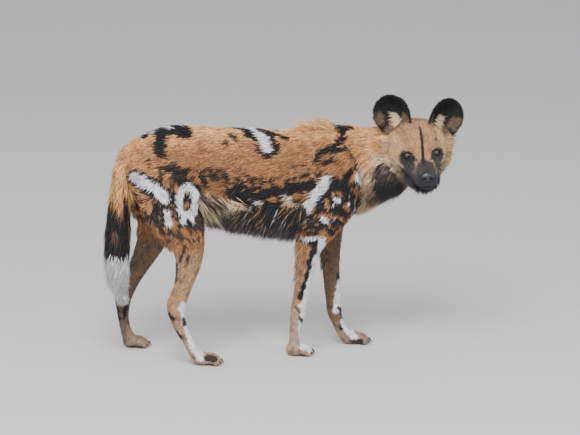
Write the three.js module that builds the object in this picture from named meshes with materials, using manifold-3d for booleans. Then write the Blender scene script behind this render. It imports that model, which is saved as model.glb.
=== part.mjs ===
// An adult African wild dog at life size, standing with its head turned to its right.
// Millimetres. +X runs from rump to chest, +Y to the animal's left, +Z up, the floor is z = 0.

import * as THREE from "three";
import { mergeVertices } from "three/addons/utils/BufferGeometryUtils.js";
import Module from "manifold-3d";

const wasm = await Module();
wasm.setup();

// Driving dimensions
const gap = 0.3; // clearance between neighbouring nodes
const floorReach = 30; // how far the floor cutter reaches below the feet
const dogLength = 1100; // longer than the animal, for the cutters
const eyeRadius = 11.5;
const eyeSpread = 37; // from the midline to each eye's centre
const lidThickness = 2.2;
const earWidth = 100;
const earHeight = 108;
const earDepth = 36;
const earThickness = 3;
// Each ear's place on the head, how far it leans outward and how far it opens to the side
const ears = {
  right: { way: -1, at: [-80, -61, 101], lean: 0.34, open: 0.3 },
  left: { way: 1, at: [-80, 89, 76], lean: 0.66, open: 0.3 },
};
const nosePad = { length: 20, width: 35, height: 27 };
const touchGap = 0.03; // how far touching points of one node's surface are drawn apart
const lockSink = 9; // how deep a lock's root lies under the surface
const clawLength = 15;
const clawRadius = 3.4;
const toeRadius = 10.5;
const toeSpacing = 13.5;

// Head: place of the point midway between the eyes, and how the head is turned
const headPlace = new THREE.Vector3(458, -120, 577);
const headTurn = { yaw: -89, roll: 4, pitch: 1 };

// Looks
const coatTan = "#b57a45";
const coatBlack = "#1c1917";
const faceDark = "#25211f";
const legTan = "#a5825f";
const hornGrey = "#3a3431";
const eyeBrown = "#3b2113";

function finish(color, roughness) {
  return new THREE.MeshStandardMaterial({ color, roughness, metalness: 0 });
}

// Solids and joins

function solidOf(geometry) {
  const bare = geometry.clone();
  bare.deleteAttribute("normal");
  bare.deleteAttribute("uv");
  const merged = mergeVertices(bare, 1e-3);
  return new wasm.Manifold(
    new wasm.Mesh({
      numProp: 3,
      vertProperties: merged.getAttribute("position").array,
      triVerts: new Uint32Array(merged.index.array),
    }),
  );
}

function largest(solid) {
  return solid.decompose().reduce((best, one) => (one.volume() > best.volume() ? one : best));
}

function joined(pieces) {
  return wasm.Manifold.union(pieces);
}

function cutBy(solid, cutters) {
  return cutters.reduce((rest, cutter) => rest.subtract(cutter), solid);
}

function geometryOf(solid) {
  const mesh = solid.getMesh();
  const geometry = new THREE.BufferGeometry();
  geometry.setAttribute("position", new THREE.BufferAttribute(new Float32Array(mesh.vertProperties), 3));
  geometry.setIndex(new THREE.BufferAttribute(new Uint32Array(mesh.triVerts), 1));
  return geometry;
}

// Where two stretches of a surface touch at a point, each is drawn a little into its own side
function drawnApart(geometry) {
  geometry.computeVertexNormals();
  const position = geometry.getAttribute("position");
  const normal = geometry.getAttribute("normal");
  const places = new Map();
  for (let i = 0; i < position.count; i += 1) {
    const place = [position.getX(i), position.getY(i), position.getZ(i)].map((v) => v.toFixed(3)).join();
    places.set(place, [...(places.get(place) ?? []), i]);
  }
  for (const shared of places.values()) {
    if (shared.length < 2) continue;
    for (const i of shared) {
      const moved = new THREE.Vector3().fromBufferAttribute(position, i);
      moved.addScaledVector(new THREE.Vector3().fromBufferAttribute(normal, i), -touchGap);
      position.setXYZ(i, ...moved);
    }
  }
  geometry.computeVertexNormals();
  return geometry;
}

function nodeOf(name, solid, material) {
  const node = new THREE.Mesh(geometryOf(largest(solid)), material);
  node.name = name;
  return node;
}

// A big block whose one face passes through a point, with the block on the side the normal points to
function halfSpace(point, normal) {
  const block = new THREE.BoxGeometry(dogLength * 2, dogLength * 2, dogLength * 2);
  block.translate(0, 0, dogLength);
  const turn = new THREE.Quaternion().setFromUnitVectors(
    new THREE.Vector3(0, 0, 1),
    new THREE.Vector3(...normal).normalize(),
  );
  block.applyQuaternion(turn);
  block.translate(...point);
  return solidOf(block);
}

// The part of a solid on the far side of a plane, kept half a gap clear of it
function beyond(solid, point, normal) {
  const way = new THREE.Vector3(...normal).normalize();
  const edge = new THREE.Vector3(...point).addScaledVector(way, gap / 2);
  return solid.intersect(halfSpace(edge.toArray(), way.toArray()));
}

function before(solid, point, normal) {
  return beyond(solid, point, normal.map((part) => -part));
}

// Lofts

// A smooth value along a list of stations, at t from 0 to 1
function along(values, t) {
  const place = t * (values.length - 1);
  const i = Math.min(Math.floor(place), values.length - 2);
  const f = place - i;
  const p0 = values[Math.max(i - 1, 0)];
  const p1 = values[i];
  const p2 = values[i + 1];
  const p3 = values[Math.min(i + 2, values.length - 1)];
  const slopeIn = (p2 - p0) / 2;
  const slopeOut = (p3 - p1) / 2;
  return (
    p1 * (1 - f * f * (3 - 2 * f)) +
    p2 * f * f * (3 - 2 * f) +
    slopeIn * f * (1 - f) * (1 - f) -
    slopeOut * f * f * (1 - f)
  );
}

// A limb or trunk described by stations: at is the centre, side the half-width, up and down the half-depths
function formOf(stations, sideways = [0, 1, 0], roundness = 2) {
  const centres = stations.map((s) => new THREE.Vector3(...s.at));
  const curve = new THREE.CatmullRomCurve3(centres, false, "centripetal");
  const reference = new THREE.Vector3(...sideways);
  const sizes = ["side", "up", "down"].map((key) => stations.map((s) => s[key]));
  function frame(t) {
    const centre = curve.getPoint(t);
    const ahead = curve.getTangent(t);
    const side = reference.clone().addScaledVector(ahead, -reference.dot(ahead)).normalize();
    const up = ahead.clone().cross(side);
    const [wide, high, low] = sizes.map((values) => Math.max(along(values, t), 0.5));
    return { centre, ahead, side, up, wide, high, low };
  }
  // The point of the surface at t along the form and at an angle round it, 90 degrees being up
  function surface(t, angle, grow = 0) {
    const f = frame(t);
    const c = Math.cos(angle);
    const s = Math.sin(angle);
    const power = 2 / roundness;
    const across = Math.sign(c) * Math.abs(c) ** power * (f.wide + grow);
    const over = Math.sign(s) * Math.abs(s) ** power * ((s > 0 ? f.high : f.low) + grow);
    return f.centre.clone().addScaledVector(f.side, across).addScaledVector(f.up, over);
  }
  return { frame, surface };
}

function loft(form, { rings, sides, grow = 0 }) {
  const points = [];
  const faces = [];
  for (let i = 0; i <= rings; i += 1) {
    for (let j = 0; j < sides; j += 1) {
      points.push(form.surface(i / rings, (2 * Math.PI * j) / sides, grow));
    }
  }
  for (let i = 0; i < rings; i += 1) {
    for (let j = 0; j < sides; j += 1) {
      const next = (j + 1) % sides;
      const [a, b] = [i * sides + j, i * sides + next];
      faces.push(a, b, a + sides, b, b + sides, a + sides);
    }
  }
  const first = form.frame(0);
  const last = form.frame(1);
  points.push(first.centre.addScaledVector(first.ahead, -grow));
  points.push(last.centre.addScaledVector(last.ahead, grow));
  const [start, end] = [points.length - 2, points.length - 1];
  const top = rings * sides;
  for (let j = 0; j < sides; j += 1) {
    const next = (j + 1) % sides;
    faces.push(start, next, j, end, top + j, top + next);
  }
  const geometry = new THREE.BufferGeometry().setFromPoints(points);
  geometry.setIndex(faces);
  return geometry;
}

function ball(centre, radii, detail = 10) {
  const sphere = new THREE.SphereGeometry(1, detail, Math.round(detail * 0.7));
  sphere.scale(...radii);
  sphere.translate(...centre);
  return sphere;
}

// Locks of long hair

// How far along a lock its sections are, and how wide it is there
const lockSteps = [
  [0, 0.5],
  [0.3, 0.85],
  [0.6, 1],
  [0.85, 0.55],
];
const seeds = { cheek: 1, ruff: 1, fringe: 308, hackle: 1 }; // one random run for each form
let seed = 1;

// A repeatable random number from low to high
function vary(low, high) {
  seed = (seed * 16807) % 2147483647;
  return low + ((high - low) * seed) / 2147483647;
}

// One flat, tapered, three-sided lock. It leaves the surface at root, runs along lie and stands off by lift
function lockOf({ root, out, lie, length, width, lift }, grow = 0) {
  const across = new THREE.Vector3().crossVectors(lie, out).normalize();
  const points = [];
  for (const [step, wide] of lockSteps) {
    const centre = root
      .clone()
      .addScaledVector(lie, length * step)
      .addScaledVector(out, lift * Math.sin(step * 1.9) - lockSink * (1 - step));
    const half = (width / 2) * wide + grow;
    const thick = (width / 6) * (1 - 0.6 * step) + grow;
    points.push(centre.clone().addScaledVector(across, -half).addScaledVector(out, -thick * 0.4));
    points.push(centre.clone().addScaledVector(across, half).addScaledVector(out, -thick * 0.4));
    points.push(centre.clone().addScaledVector(out, thick));
  }
  points.push(root.clone().addScaledVector(lie, length + grow).addScaledVector(out, lift * 0.95));
  const faces = [0, 2, 1];
  for (let i = 0; i < lockSteps.length; i += 1) {
    for (let j = 0; j < 3; j += 1) {
      const [a, b] = [i * 3 + j, i * 3 + ((j + 1) % 3)];
      if (i + 1 < lockSteps.length) faces.push(a, b, a + 3, b, b + 3, a + 3);
      else faces.push(a, b, points.length - 1);
    }
  }
  const geometry = new THREE.BufferGeometry().setFromPoints(points);
  geometry.setIndex(faces);
  return geometry;
}

// The surface point of a form and the way out of it there
function rootOn(form, t, angle) {
  const root = form.surface(t, angle);
  const out = root.clone().sub(form.frame(t).centre).normalize();
  return { root, out };
}

// The lie of hair that heads a given way, laid flat on the surface
function laid(way, out) {
  return way.clone().addScaledVector(out, -way.dot(out)).normalize();
}

// Trunk

const trunkStations = [
  { x: -322, top: 590, bottom: 535, wide: 30 },
  { x: -305, top: 622, bottom: 480, wide: 58 },
  { x: -265, top: 650, bottom: 430, wide: 78 },
  { x: -200, top: 655, bottom: 410, wide: 82 },
  { x: -130, top: 650, bottom: 402, wide: 80 },
  { x: -60, top: 645, bottom: 392, wide: 86 },
  { x: 15, top: 640, bottom: 378, wide: 94 },
  { x: 90, top: 633, bottom: 364, wide: 98 },
  { x: 150, top: 640, bottom: 354, wide: 97 },
  { x: 205, top: 646, bottom: 352, wide: 92 },
  { x: 255, top: 636, bottom: 366, wide: 84 },
  { x: 292, top: 600, bottom: 396, wide: 68 },
  { x: 316, top: 530, bottom: 440, wide: 34 },
];
const trunkForm = formOf(
  trunkStations.map(({ x, top, bottom, wide }) => {
    const middle = bottom + (top - bottom) * 0.54;
    return { at: [x, 0, middle], side: wide, up: top - middle, down: middle - bottom };
  }),
  [0, 1, 0],
  2.15,
);

// The neck bends to the right and carries the deep throat
const neckForm = formOf([
  { at: [170, 0, 545], side: 60, up: 70, down: 90 },
  { at: [240, 0, 535], side: 80, up: 112, down: 122 },
  { at: [300, 4, 528], side: 84, up: 112, down: 120 },
  { at: [350, 9, 536], side: 86, up: 102, down: 108 },
  { at: [398, 8, 550], side: 85, up: 91, down: 98 },
  { at: [434, -10, 562], side: 82, up: 84, down: 86 },
  { at: [456, -45, 570], side: 74, up: 76, down: 74 },
]);

const neckCut = { point: [300, 0, 480], normal: [0.934, 0, 0.357] };
const down = new THREE.Vector3(0, 0, -1);
const degree = Math.PI / 180;

// Where along the trunk a length x lies
function trunkAt(x) {
  const i = trunkStations.findIndex((s) => s.x > x);
  const [a, b] = [trunkStations[i - 1].x, trunkStations[i].x];
  return (i - 1 + (x - a) / (b - a)) / (trunkStations.length - 1);
}

// The raised tuft along the withers
function hackleLocks() {
  seed = seeds.hackle;
  const locks = [];
  for (let x = 172; x <= 240; x += 17) {
    for (const side of [-17, 0, 17]) {
      const { root, out } = rootOn(trunkForm, trunkAt(x + vary(-4, 4)), (90 + side) * degree);
      locks.push({
        root,
        out,
        lie: new THREE.Vector3(-0.82, -side / 60, 0.56).normalize(),
        length: vary(32, 40),
        width: 16,
        lift: 4,
      });
    }
  }
  return locks;
}

// The belly's fringe, which fans forward from the flank and hangs down further on
function fringeLocks() {
  seed = seeds.fringe;
  const locks = [];
  for (let x = -112; x <= 118; x += 33) {
    const flank = THREE.MathUtils.clamp((10 - x) / 90, 0, 1);
    const way = new THREE.Vector3(-0.45 + 1.2 * flank, 0, -0.9);
    for (const from of [214, 243, 297, 326]) {
      const { root, out } = rootOn(trunkForm, trunkAt(x + vary(-5, 5)), (from + vary(-4, 4)) * degree);
      locks.push({
        root,
        out,
        lie: laid(way, out).addScaledVector(down, 0.5).normalize(),
        length: vary(52, 62),
        width: vary(25, 30),
        lift: vary(6, 9),
      });
    }
  }
  return locks;
}

// The pale ruff on the throat and the sides of the neck
function ruffLocks() {
  seed = seeds.ruff;
  const locks = [];
  for (let row = 0; row < 4; row += 1) {
    const t = 0.44 + row * 0.12;
    const { ahead } = neckForm.frame(t);
    for (let angle = 198 + (row % 2) * 10; angle <= 342; angle += 28) {
      const { root, out } = rootOn(neckForm, t, (angle + vary(-3, 3)) * degree);
      locks.push({
        root,
        out,
        lie: laid(down.clone().addScaledVector(ahead, -0.7), out).addScaledVector(down, 0.45).normalize(),
        length: vary(56, 70),
        width: vary(24, 30),
        lift: vary(7, 12),
      });
    }
  }
  return locks;
}

// Legs, drawn from the shoulder or hip down. side is the half-thickness across the body, up faces forward

function legForm(stations) {
  return formOf(
    stations.map(([x, y, z, thick, front, back]) => ({ at: [x, y, z], side: thick, up: front, down: back })),
  );
}

const legs = {
  front_right: {
    form: legForm([
      [212, -60, 612, 18, 30, 30],
      [232, -72, 560, 27, 48, 50],
      [244, -80, 490, 31, 58, 62],
      [226, -83, 420, 31, 56, 60],
      [176, -79, 355, 30, 50, 54],
      [158, -74, 310, 27, 35, 38],
      [150, -70, 265, 24, 28, 30],
      [143, -65, 215, 22, 25, 26],
      [136, -61, 165, 21, 24, 25],
      [128, -56, 122, 22, 24, 23],
      [122, -52, 84, 17, 18, 18],
      [121, -48, 52, 17, 19, 18],
      [124, -45, 24, 22, 24, 22],
      [128, -44, 8, 22, 24, 22],
    ]),
    paw: { at: [130, -44], scale: 1 },
    cuts: { upper: 348, lower: 104 },
  },
  front_left: {
    form: legForm([
      [212, 60, 612, 18, 30, 30],
      [232, 72, 560, 27, 48, 50],
      [254, 80, 490, 31, 58, 62],
      [258, 83, 425, 31, 54, 60],
      [244, 76, 350, 30, 42, 50],
      [240, 68, 290, 26, 31, 34],
      [239, 62, 232, 24, 27, 28],
      [241, 57, 180, 22, 25, 26],
      [245, 52, 132, 21, 24, 25],
      [246, 49, 96, 22, 24, 22],
      [258, 48, 62, 18, 19, 19],
      [272, 47, 34, 19, 20, 20],
      [286, 47, 14, 22, 22, 20],
    ]),
    paw: { at: [304, 47], scale: 1 },
    cuts: { upper: 348, lower: 84 },
  },
  hind_right: {
    form: legForm([
      [-232, -56, 612, 20, 50, 52],
      [-228, -70, 560, 32, 74, 78],
      [-222, -78, 490, 38, 88, 92],
      [-208, -84, 425, 39, 80, 84],
      [-186, -89, 372, 36, 62, 66],
      [-173, -92, 322, 30, 42, 46],
      [-178, -94, 270, 25, 33, 36],
      [-192, -95, 218, 21, 26, 29],
      [-207, -96, 172, 20, 25, 33],
      [-205, -97, 132, 19, 22, 26],
      [-192, -98, 94, 17, 18, 20],
      [-175, -99, 60, 17, 17, 18],
      [-160, -99, 32, 20, 20, 19],
      [-150, -99, 14, 22, 22, 20],
    ]),
    paw: { at: [-129, -99], scale: 0.97 },
    cuts: { upper: 346, lower: 142 },
  },
  hind_left: {
    form: legForm([
      [-236, 56, 612, 20, 50, 52],
      [-238, 70, 560, 32, 72, 78],
      [-242, 78, 490, 38, 84, 90],
      [-242, 84, 425, 39, 76, 82],
      [-240, 89, 366, 36, 60, 62],
      [-258, 93, 306, 30, 42, 44],
      [-284, 96, 252, 25, 32, 34],
      [-314, 98, 196, 21, 25, 28],
      [-334, 98, 152, 20, 24, 32],
      [-340, 98, 112, 18, 20, 22],
      [-338, 98, 76, 16, 17, 18],
      [-332, 98, 44, 18, 19, 18],
      [-324, 98, 20, 22, 24, 20],
      [-320, 98, 8, 22, 24, 20],
    ]),
    paw: { at: [-310, 98], scale: 0.97 },
    cuts: { upper: 340, lower: 136 },
  },
};

// One paw, pointing to +X, with four toes and no dewclaw
function pawPieces() {
  const core = ball([-6, 0, 19], [31, 25, 21], 8);
  const toes = [];
  const grownToes = [];
  const claws = [];
  for (const place of [-1.5, -0.5, 0.5, 1.5]) {
    const y = place * toeSpacing;
    const reach = Math.abs(place) > 1 ? 31 : 38;
    const toe = formOf([
      { at: [-2, y * 0.7, 20], side: toeRadius * 0.8, up: 9, down: 9 },
      { at: [reach - 22, y * 0.95, 22], side: toeRadius * 0.95, up: 12, down: 14 },
      { at: [reach - 8, y * 1.04, 15], side: toeRadius, up: 12, down: 17 },
      { at: [reach, y * 1.06, 11], side: toeRadius * 0.8, up: 8, down: 9 },
      { at: [reach + 3, y * 1.06, 10], side: 3, up: 3, down: 3 },
    ]);
    toes.push(loft(toe, { rings: 3, sides: 6 }));
    grownToes.push(loft(toe, { rings: 3, sides: 6, grow: gap }));
    const tip = reach - 5 + clawLength;
    const claw = formOf([
      { at: [reach - 5, y * 1.06, 15], side: clawRadius, up: clawRadius, down: clawRadius },
      { at: [reach + 3, y * 1.07, 14], side: clawRadius, up: clawRadius, down: clawRadius },
      { at: [tip - clawLength * 0.2, y * 1.08, 10], side: 2.2, up: 2.4, down: 2.4 },
      { at: [tip, y * 1.08, 5.5], side: 0.8, up: 0.8, down: 0.8 },
    ]);
    claws.push(loft(claw, { rings: 2, sides: 4 }));
  }
  return { flesh: [core, ...toes], grownToes, claws };
}

// Tail, smooth out to the tips of its brush: the place and radius of each station

const tailForm = formOf(
  [
    [-285, 606, 20],
    [-318, 590, 23],
    [-340, 555, 26],
    [-348, 510, 30],
    [-353, 450, 35],
    [-358, 380, 40],
    [-362, 315, 40],
    [-362, 265, 36],
    [-358, 222, 30],
    [-352, 182, 19],
    [-349, 148, 4],
  ].map(([x, z, radius]) => ({ at: [x, 0, z], side: radius, up: radius, down: radius })),
);

// Head, in its own frame: +X to the nose, +Y to its left, origin midway between the eyes

const skullForm = formOf(
  [
    { x: -152, top: 40, bottom: -48, wide: 46 },
    { x: -132, top: 66, bottom: -72, wide: 70 },
    { x: -95, top: 81, bottom: -88, wide: 86 },
    { x: -62, top: 73, bottom: -86, wide: 86 },
    { x: -35, top: 56, bottom: -82, wide: 77 },
    { x: -14, top: 38, bottom: -80, wide: 65 },
    { x: 2, top: 24, bottom: -79, wide: 57 },
    { x: 18, top: 10, bottom: -78, wide: 49 },
    { x: 38, top: -2, bottom: -78, wide: 42 },
    { x: 62, top: -12, bottom: -78, wide: 37 },
    { x: 80, top: -19, bottom: -77, wide: 33 },
    { x: 91, top: -26, bottom: -72, wide: 28 },
    { x: 97, top: -36, bottom: -60, wide: 17 },
  ].map(({ x, top, bottom, wide }) => {
    const middle = bottom + (top - bottom) * 0.52;
    return { at: [x, 0, middle], side: wide, up: top - middle, down: middle - bottom };
  }),
  [0, 1, 0],
  2.1,
);

function inHead(geometry) {
  const turn = new THREE.Euler(
    THREE.MathUtils.degToRad(headTurn.roll),
    THREE.MathUtils.degToRad(headTurn.pitch),
    THREE.MathUtils.degToRad(headTurn.yaw),
    "ZYX",
  );
  const place = new THREE.Matrix4().makeRotationFromEuler(turn).setPosition(headPlace);
  return geometry.clone().applyMatrix4(place);
}

// Cheek ruff, drawn in the head's frame
function cheekLocks() {
  seed = seeds.cheek;
  const locks = [];
  for (const way of [-1, 1]) {
    for (let row = 0; row < 3; row += 1) {
      for (let angle = -58 + (row % 2) * 11; angle <= 24; angle += 23) {
        const turn = way > 0 ? angle : 180 - angle;
        const { root, out } = rootOn(skullForm, 0.14 + row * 0.07, (turn + vary(-3, 3)) * degree);
        locks.push({
          root,
          out,
          lie: new THREE.Vector3(-0.62, way * 0.5, -0.4).normalize(),
          length: vary(30, 38),
          width: vary(17, 22),
          lift: 2,
        });
      }
    }
  }
  return locks;
}

function eyeBall(way, grow = 0) {
  const radius = eyeRadius + grow;
  return ball([-5, way * eyeSpread, 0], [radius, radius, radius], 14);
}

// The almond between the lids, as a prism along the gaze
function eyeOpening(way) {
  const almond = new THREE.Shape();
  almond.moveTo(-12, -1);
  almond.quadraticCurveTo(-2, 9.5, 12, 2.5);
  almond.quadraticCurveTo(1, -8.5, -12, -1);
  const prism = new THREE.ExtrudeGeometry(almond, { depth: 40, bevelEnabled: false, curveSegments: 5 });
  prism.rotateX(Math.PI / 2);
  prism.rotateZ(Math.PI / 2);
  if (way < 0) {
    prism.scale(1, -1, 1);
    const turned = prism.index ? prism.toNonIndexed() : prism.clone();
    const place = turned.getAttribute("position");
    for (let i = 0; i < place.count; i += 3) {
      const b = new THREE.Vector3().fromBufferAttribute(place, i + 1);
      const c = new THREE.Vector3().fromBufferAttribute(place, i + 2);
      place.setXYZ(i + 1, c.x, c.y, c.z);
      place.setXYZ(i + 2, b.x, b.y, b.z);
    }
    turned.rotateZ(-0.28);
    return turned.translate(-5, -eyeSpread, 0);
  }
  prism.rotateZ(0.28);
  return prism.translate(-5, eyeSpread, 0);
}

// One ear: a round dish with a squarer foot, open to the front, on a short root
function earPieces({ way, at, lean, open }) {
  const rings = 5;
  const around = 16;
  function dish(r, angle, thickness) {
    const c = Math.cos(angle);
    const s = Math.sin(angle);
    const power = s < 0 ? 2 - 1.4 * s : 2;
    const square = (Math.abs(c) ** power + Math.abs(s) ** power) ** (-1 / power);
    const depth = (earDepth - thickness) * (1 - r * r) ** 0.85;
    const curl = 8 * r ** 3 * Math.abs(c);
    return new THREE.Vector3(
      curl - depth,
      c * r * square * (earWidth / 2 - thickness * r),
      s * r * square * (earHeight / 2 - thickness * r),
    );
  }
  const points = [];
  const faces = [];
  const sheets = [0, earThickness].map((thickness) => {
    const first = points.length;
    points.push(dish(0, 0, thickness));
    for (let i = 1; i <= rings; i += 1) {
      for (let j = 0; j < around; j += 1) {
        points.push(dish(i / rings, (2 * Math.PI * j) / around, thickness));
      }
    }
    return first;
  });
  const put = (flip, a, b, c) => (flip ? faces.push(a, c, b) : faces.push(a, b, c));
  sheets.forEach((first, flip) => {
    for (let j = 0; j < around; j += 1) {
      const next = (j + 1) % around;
      put(!flip, first, first + 1 + j, first + 1 + next);
      for (let i = 0; i < rings - 1; i += 1) {
        const [a, b] = [first + 1 + i * around + j, first + 1 + i * around + next];
        put(!flip, a, a + around, b);
        put(!flip, b, a + around, b + around);
      }
    }
  });
  const rim = (first) => first + 1 + (rings - 1) * around;
  for (let j = 0; j < around; j += 1) {
    const next = (j + 1) % around;
    const [a, b, c, d] = [rim(0) + j, rim(0) + next, rim(sheets[1]) + j, rim(sheets[1]) + next];
    faces.push(a, b, c, b, d, c);
  }
  const shell = new THREE.BufferGeometry().setFromPoints(points);
  shell.setIndex(faces);
  shell.rotateX(-way * lean);
  shell.rotateZ(way * open);
  shell.translate(...at);
  const root = loft(
    formOf([
      { at: [-86, at[1] * 0.62, at[2] - 70], side: 34, up: 20, down: 26 },
      { at: [-92, at[1] * 0.74, at[2] - 44], side: 34, up: 20, down: 24 },
      { at: [-100, at[1] * 0.88, at[2] - 20], side: 27, up: 16, down: 17 },
      { at: [-104, at[1], at[2]], side: 14, up: 8, down: 10 },
    ]),
    { rings: 5, sides: 12 },
  );
  return { shell, root };
}

function headNodes(neckSocket) {
  const skullOf = (grow) => solidOf(inHead(loft(skullForm, { rings: 18, sides: 22, grow })));
  const skull = skullOf(0);
  const shapes = [];
  for (const way of [-1, 1]) {
    shapes.push(ball([-10, way * 31, 18], [17, 14, 10], 8)); // brow
    shapes.push(ball([-22, way * 58, -16], [26, 16, 15], 8)); // cheekbone
    shapes.push(ball([64, way * 24, -46], [28, 15, 16], 8)); // upper lip
    const lid = eyeRadius + lidThickness;
    shapes.push(ball([-5, way * eyeSpread, 0], [lid, lid, lid], 14));
  }
  const cheeks = cheekLocks();
  const cheeksOf = (grow) => cheeks.map((lock) => solidOf(inHead(lockOf(lock, grow))));
  const flesh = joined([skull, ...cheeksOf(0), ...shapes.map((shape) => solidOf(inHead(shape)))]);

  // The line of the mouth, a shallow groove along both sides and round the front
  const line = new THREE.Shape();
  line.moveTo(8, -54);
  line.quadraticCurveTo(50, -66, 110, -58);
  line.lineTo(110, -60.2);
  line.quadraticCurveTo(50, -68.4, 7, -56);
  line.closePath();
  const blade = new THREE.ExtrudeGeometry(line, { depth: 160, bevelEnabled: false, curveSegments: 5 });
  blade.rotateX(Math.PI / 2);
  blade.translate(0, 80, 0);
  const mouth = solidOf(inHead(blade)).subtract(skullOf(-2.5));

  const pad = (grow) =>
    ball(
      [93, 0, -34],
      [nosePad.length / 2 + grow, nosePad.width / 2 + grow, nosePad.height / 2 + grow],
      10,
    );
  const nostrils = [-1, 1].flatMap((way) => [
    ball([101, way * 8, -36], [6, 4, 3.4], 7),
    ball([98, way * 13, -38], [5, 4, 2], 7),
  ]);
  const cutters = [mouth, solidOf(inHead(pad(gap)))];
  for (const { way } of Object.values(ears)) {
    cutters.push(solidOf(inHead(eyeOpening(way))));
    cutters.push(solidOf(inHead(eyeBall(way, gap))));
  }
  const head = cutBy(flesh, cutters);
  const nodes = [
    nodeOf("head", head, finish(coatTan, 0.85)),
    nodeOf(
      "nose",
      cutBy(solidOf(inHead(pad(0))), nostrils.map((hole) => solidOf(inHead(hole)))),
      finish(faceDark, 0.4),
    ),
  ];
  for (const [name, { way }] of Object.entries(ears)) {
    nodes.push(nodeOf(`eye_${name}`, solidOf(inHead(eyeBall(way))), finish(eyeBrown, 0.1)));
    const { shell, root } = earPieces(ears[name]);
    const ear = joined([solidOf(inHead(shell)), solidOf(inHead(root))]);
    nodes.push(nodeOf(`ear_${name}`, cutBy(ear, [skullOf(gap), neckSocket]), finish(coatBlack, 0.9)));
  }
  return { nodes, socket: joined([skullOf(gap), ...cheeksOf(gap)]) };
}

// Assembly

const dog = new THREE.Group();

const neckMesh = { rings: 12, sides: 20 };
const tailMesh = { rings: 20, sides: 12 };
const trunkMesh = { rings: 22, sides: 20 };
const trunk = solidOf(loft(trunkForm, trunkMesh));
const neck = solidOf(loft(neckForm, neckMesh));
const neckSocket = solidOf(loft(neckForm, { ...neckMesh, grow: gap }));
const head = headNodes(neckSocket);
dog.add(...head.nodes);
const tail = solidOf(loft(tailForm, tailMesh));
const tailSocket = solidOf(loft(tailForm, { ...tailMesh, grow: gap }));
const floor = halfSpace([0, 0, 0], [0, 0, -1]);

const legSockets = [];
for (const [name, leg] of Object.entries(legs)) {
  const resolution = { rings: 17, sides: 12 };
  legSockets.push(solidOf(loft(leg.form, { ...resolution, grow: gap })));
  const limb = solidOf(loft(leg.form, resolution));
  const { flesh, grownToes, claws } = pawPieces();
  const place = (shape) => {
    const put = shape.clone().scale(leg.paw.scale, leg.paw.scale, leg.paw.scale);
    return solidOf(put.translate(...leg.paw.at, 0));
  };
  const whole = joined([limb, ...flesh.map(place)]).subtract(floor);
  const names = name.startsWith("front")
    ? ["shoulder", "forearm", "paw"]
    : ["thigh", "shank", "paw"];
  const [upperCut, lowerCut] = [leg.cuts.upper, leg.cuts.lower].map((z) => [0, 0, z]);
  const rest = beyond(whole, upperCut, [0, 0, -1]);
  dog.add(
    nodeOf(`${name}_${names[0]}`, before(whole, upperCut, [0, 0, -1]), finish(coatTan, 0.85)),
    nodeOf(`${name}_${names[1]}`, before(rest, lowerCut, [0, 0, -1]), finish(legTan, 0.85)),
    nodeOf(`${name}_${names[2]}`, beyond(rest, lowerCut, [0, 0, -1]), finish(legTan, 0.8)),
  );
  claws.forEach((c, i) => {
    const claw = place(c).subtract(place(grownToes[i]));
    dog.add(nodeOf(`${name}_claw_${i + 1}`, claw, finish(hornGrey, 0.5)));
  });
}

const solidLocks = (locks, grow) => locks.map((lock) => solidOf(lockOf(lock, grow)));
const ruff = ruffLocks();
const body = joined([trunk, neck]);
const neckFlesh = beyond(body, neckCut.point, neckCut.normal);
const torsoFlesh = before(body, neckCut.point, neckCut.normal);
const neckWhole = joined([neckFlesh, ...solidLocks(ruff, 0)]);
const torsoWhole = joined([torsoFlesh, ...solidLocks([...hackleLocks(), ...fringeLocks()], 0)]);
const ruffSocket = joined(solidLocks(ruff, gap));
dog.add(
  nodeOf("neck", cutBy(neckWhole, [head.socket, ...legSockets]), finish(coatTan, 0.9)),
  nodeOf("torso", cutBy(torsoWhole, [tailSocket, ruffSocket, ...legSockets]), finish(coatTan, 0.9)),
);

dog.add(nodeOf("tail", cutBy(tail, legSockets), finish(coatBlack, 0.9)));

// The part's origin is the middle of its footprint, on the floor
const box = new THREE.Box3().setFromObject(dog);
const middle = box.getCenter(new THREE.Vector3());
for (const node of dog.children) {
  node.geometry.translate(-middle.x, -middle.y, 0);
  // Near-coincident points are welded, and the largest closed surface is kept
  node.geometry = drawnApart(geometryOf(largest(solidOf(node.geometry))));
}

export default dog;
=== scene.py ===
import math
from functools import partial
import bmesh
import bpy
import numpy as np
from mathutils import Euler, Matrix, Vector


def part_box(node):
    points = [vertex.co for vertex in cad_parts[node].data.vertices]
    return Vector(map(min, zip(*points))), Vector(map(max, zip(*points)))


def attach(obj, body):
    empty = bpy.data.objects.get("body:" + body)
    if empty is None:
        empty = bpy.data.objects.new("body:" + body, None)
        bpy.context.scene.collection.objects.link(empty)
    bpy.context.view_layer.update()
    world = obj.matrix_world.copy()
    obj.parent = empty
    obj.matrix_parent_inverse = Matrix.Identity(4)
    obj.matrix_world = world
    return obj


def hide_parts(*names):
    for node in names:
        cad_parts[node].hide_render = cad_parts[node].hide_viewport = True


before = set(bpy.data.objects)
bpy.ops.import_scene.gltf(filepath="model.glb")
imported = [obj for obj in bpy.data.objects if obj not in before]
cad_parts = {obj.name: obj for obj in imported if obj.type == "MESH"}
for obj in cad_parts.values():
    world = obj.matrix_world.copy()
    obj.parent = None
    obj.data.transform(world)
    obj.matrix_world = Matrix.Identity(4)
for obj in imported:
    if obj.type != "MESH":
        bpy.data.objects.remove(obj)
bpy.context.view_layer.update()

chance = np.random.default_rng(4)

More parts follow.
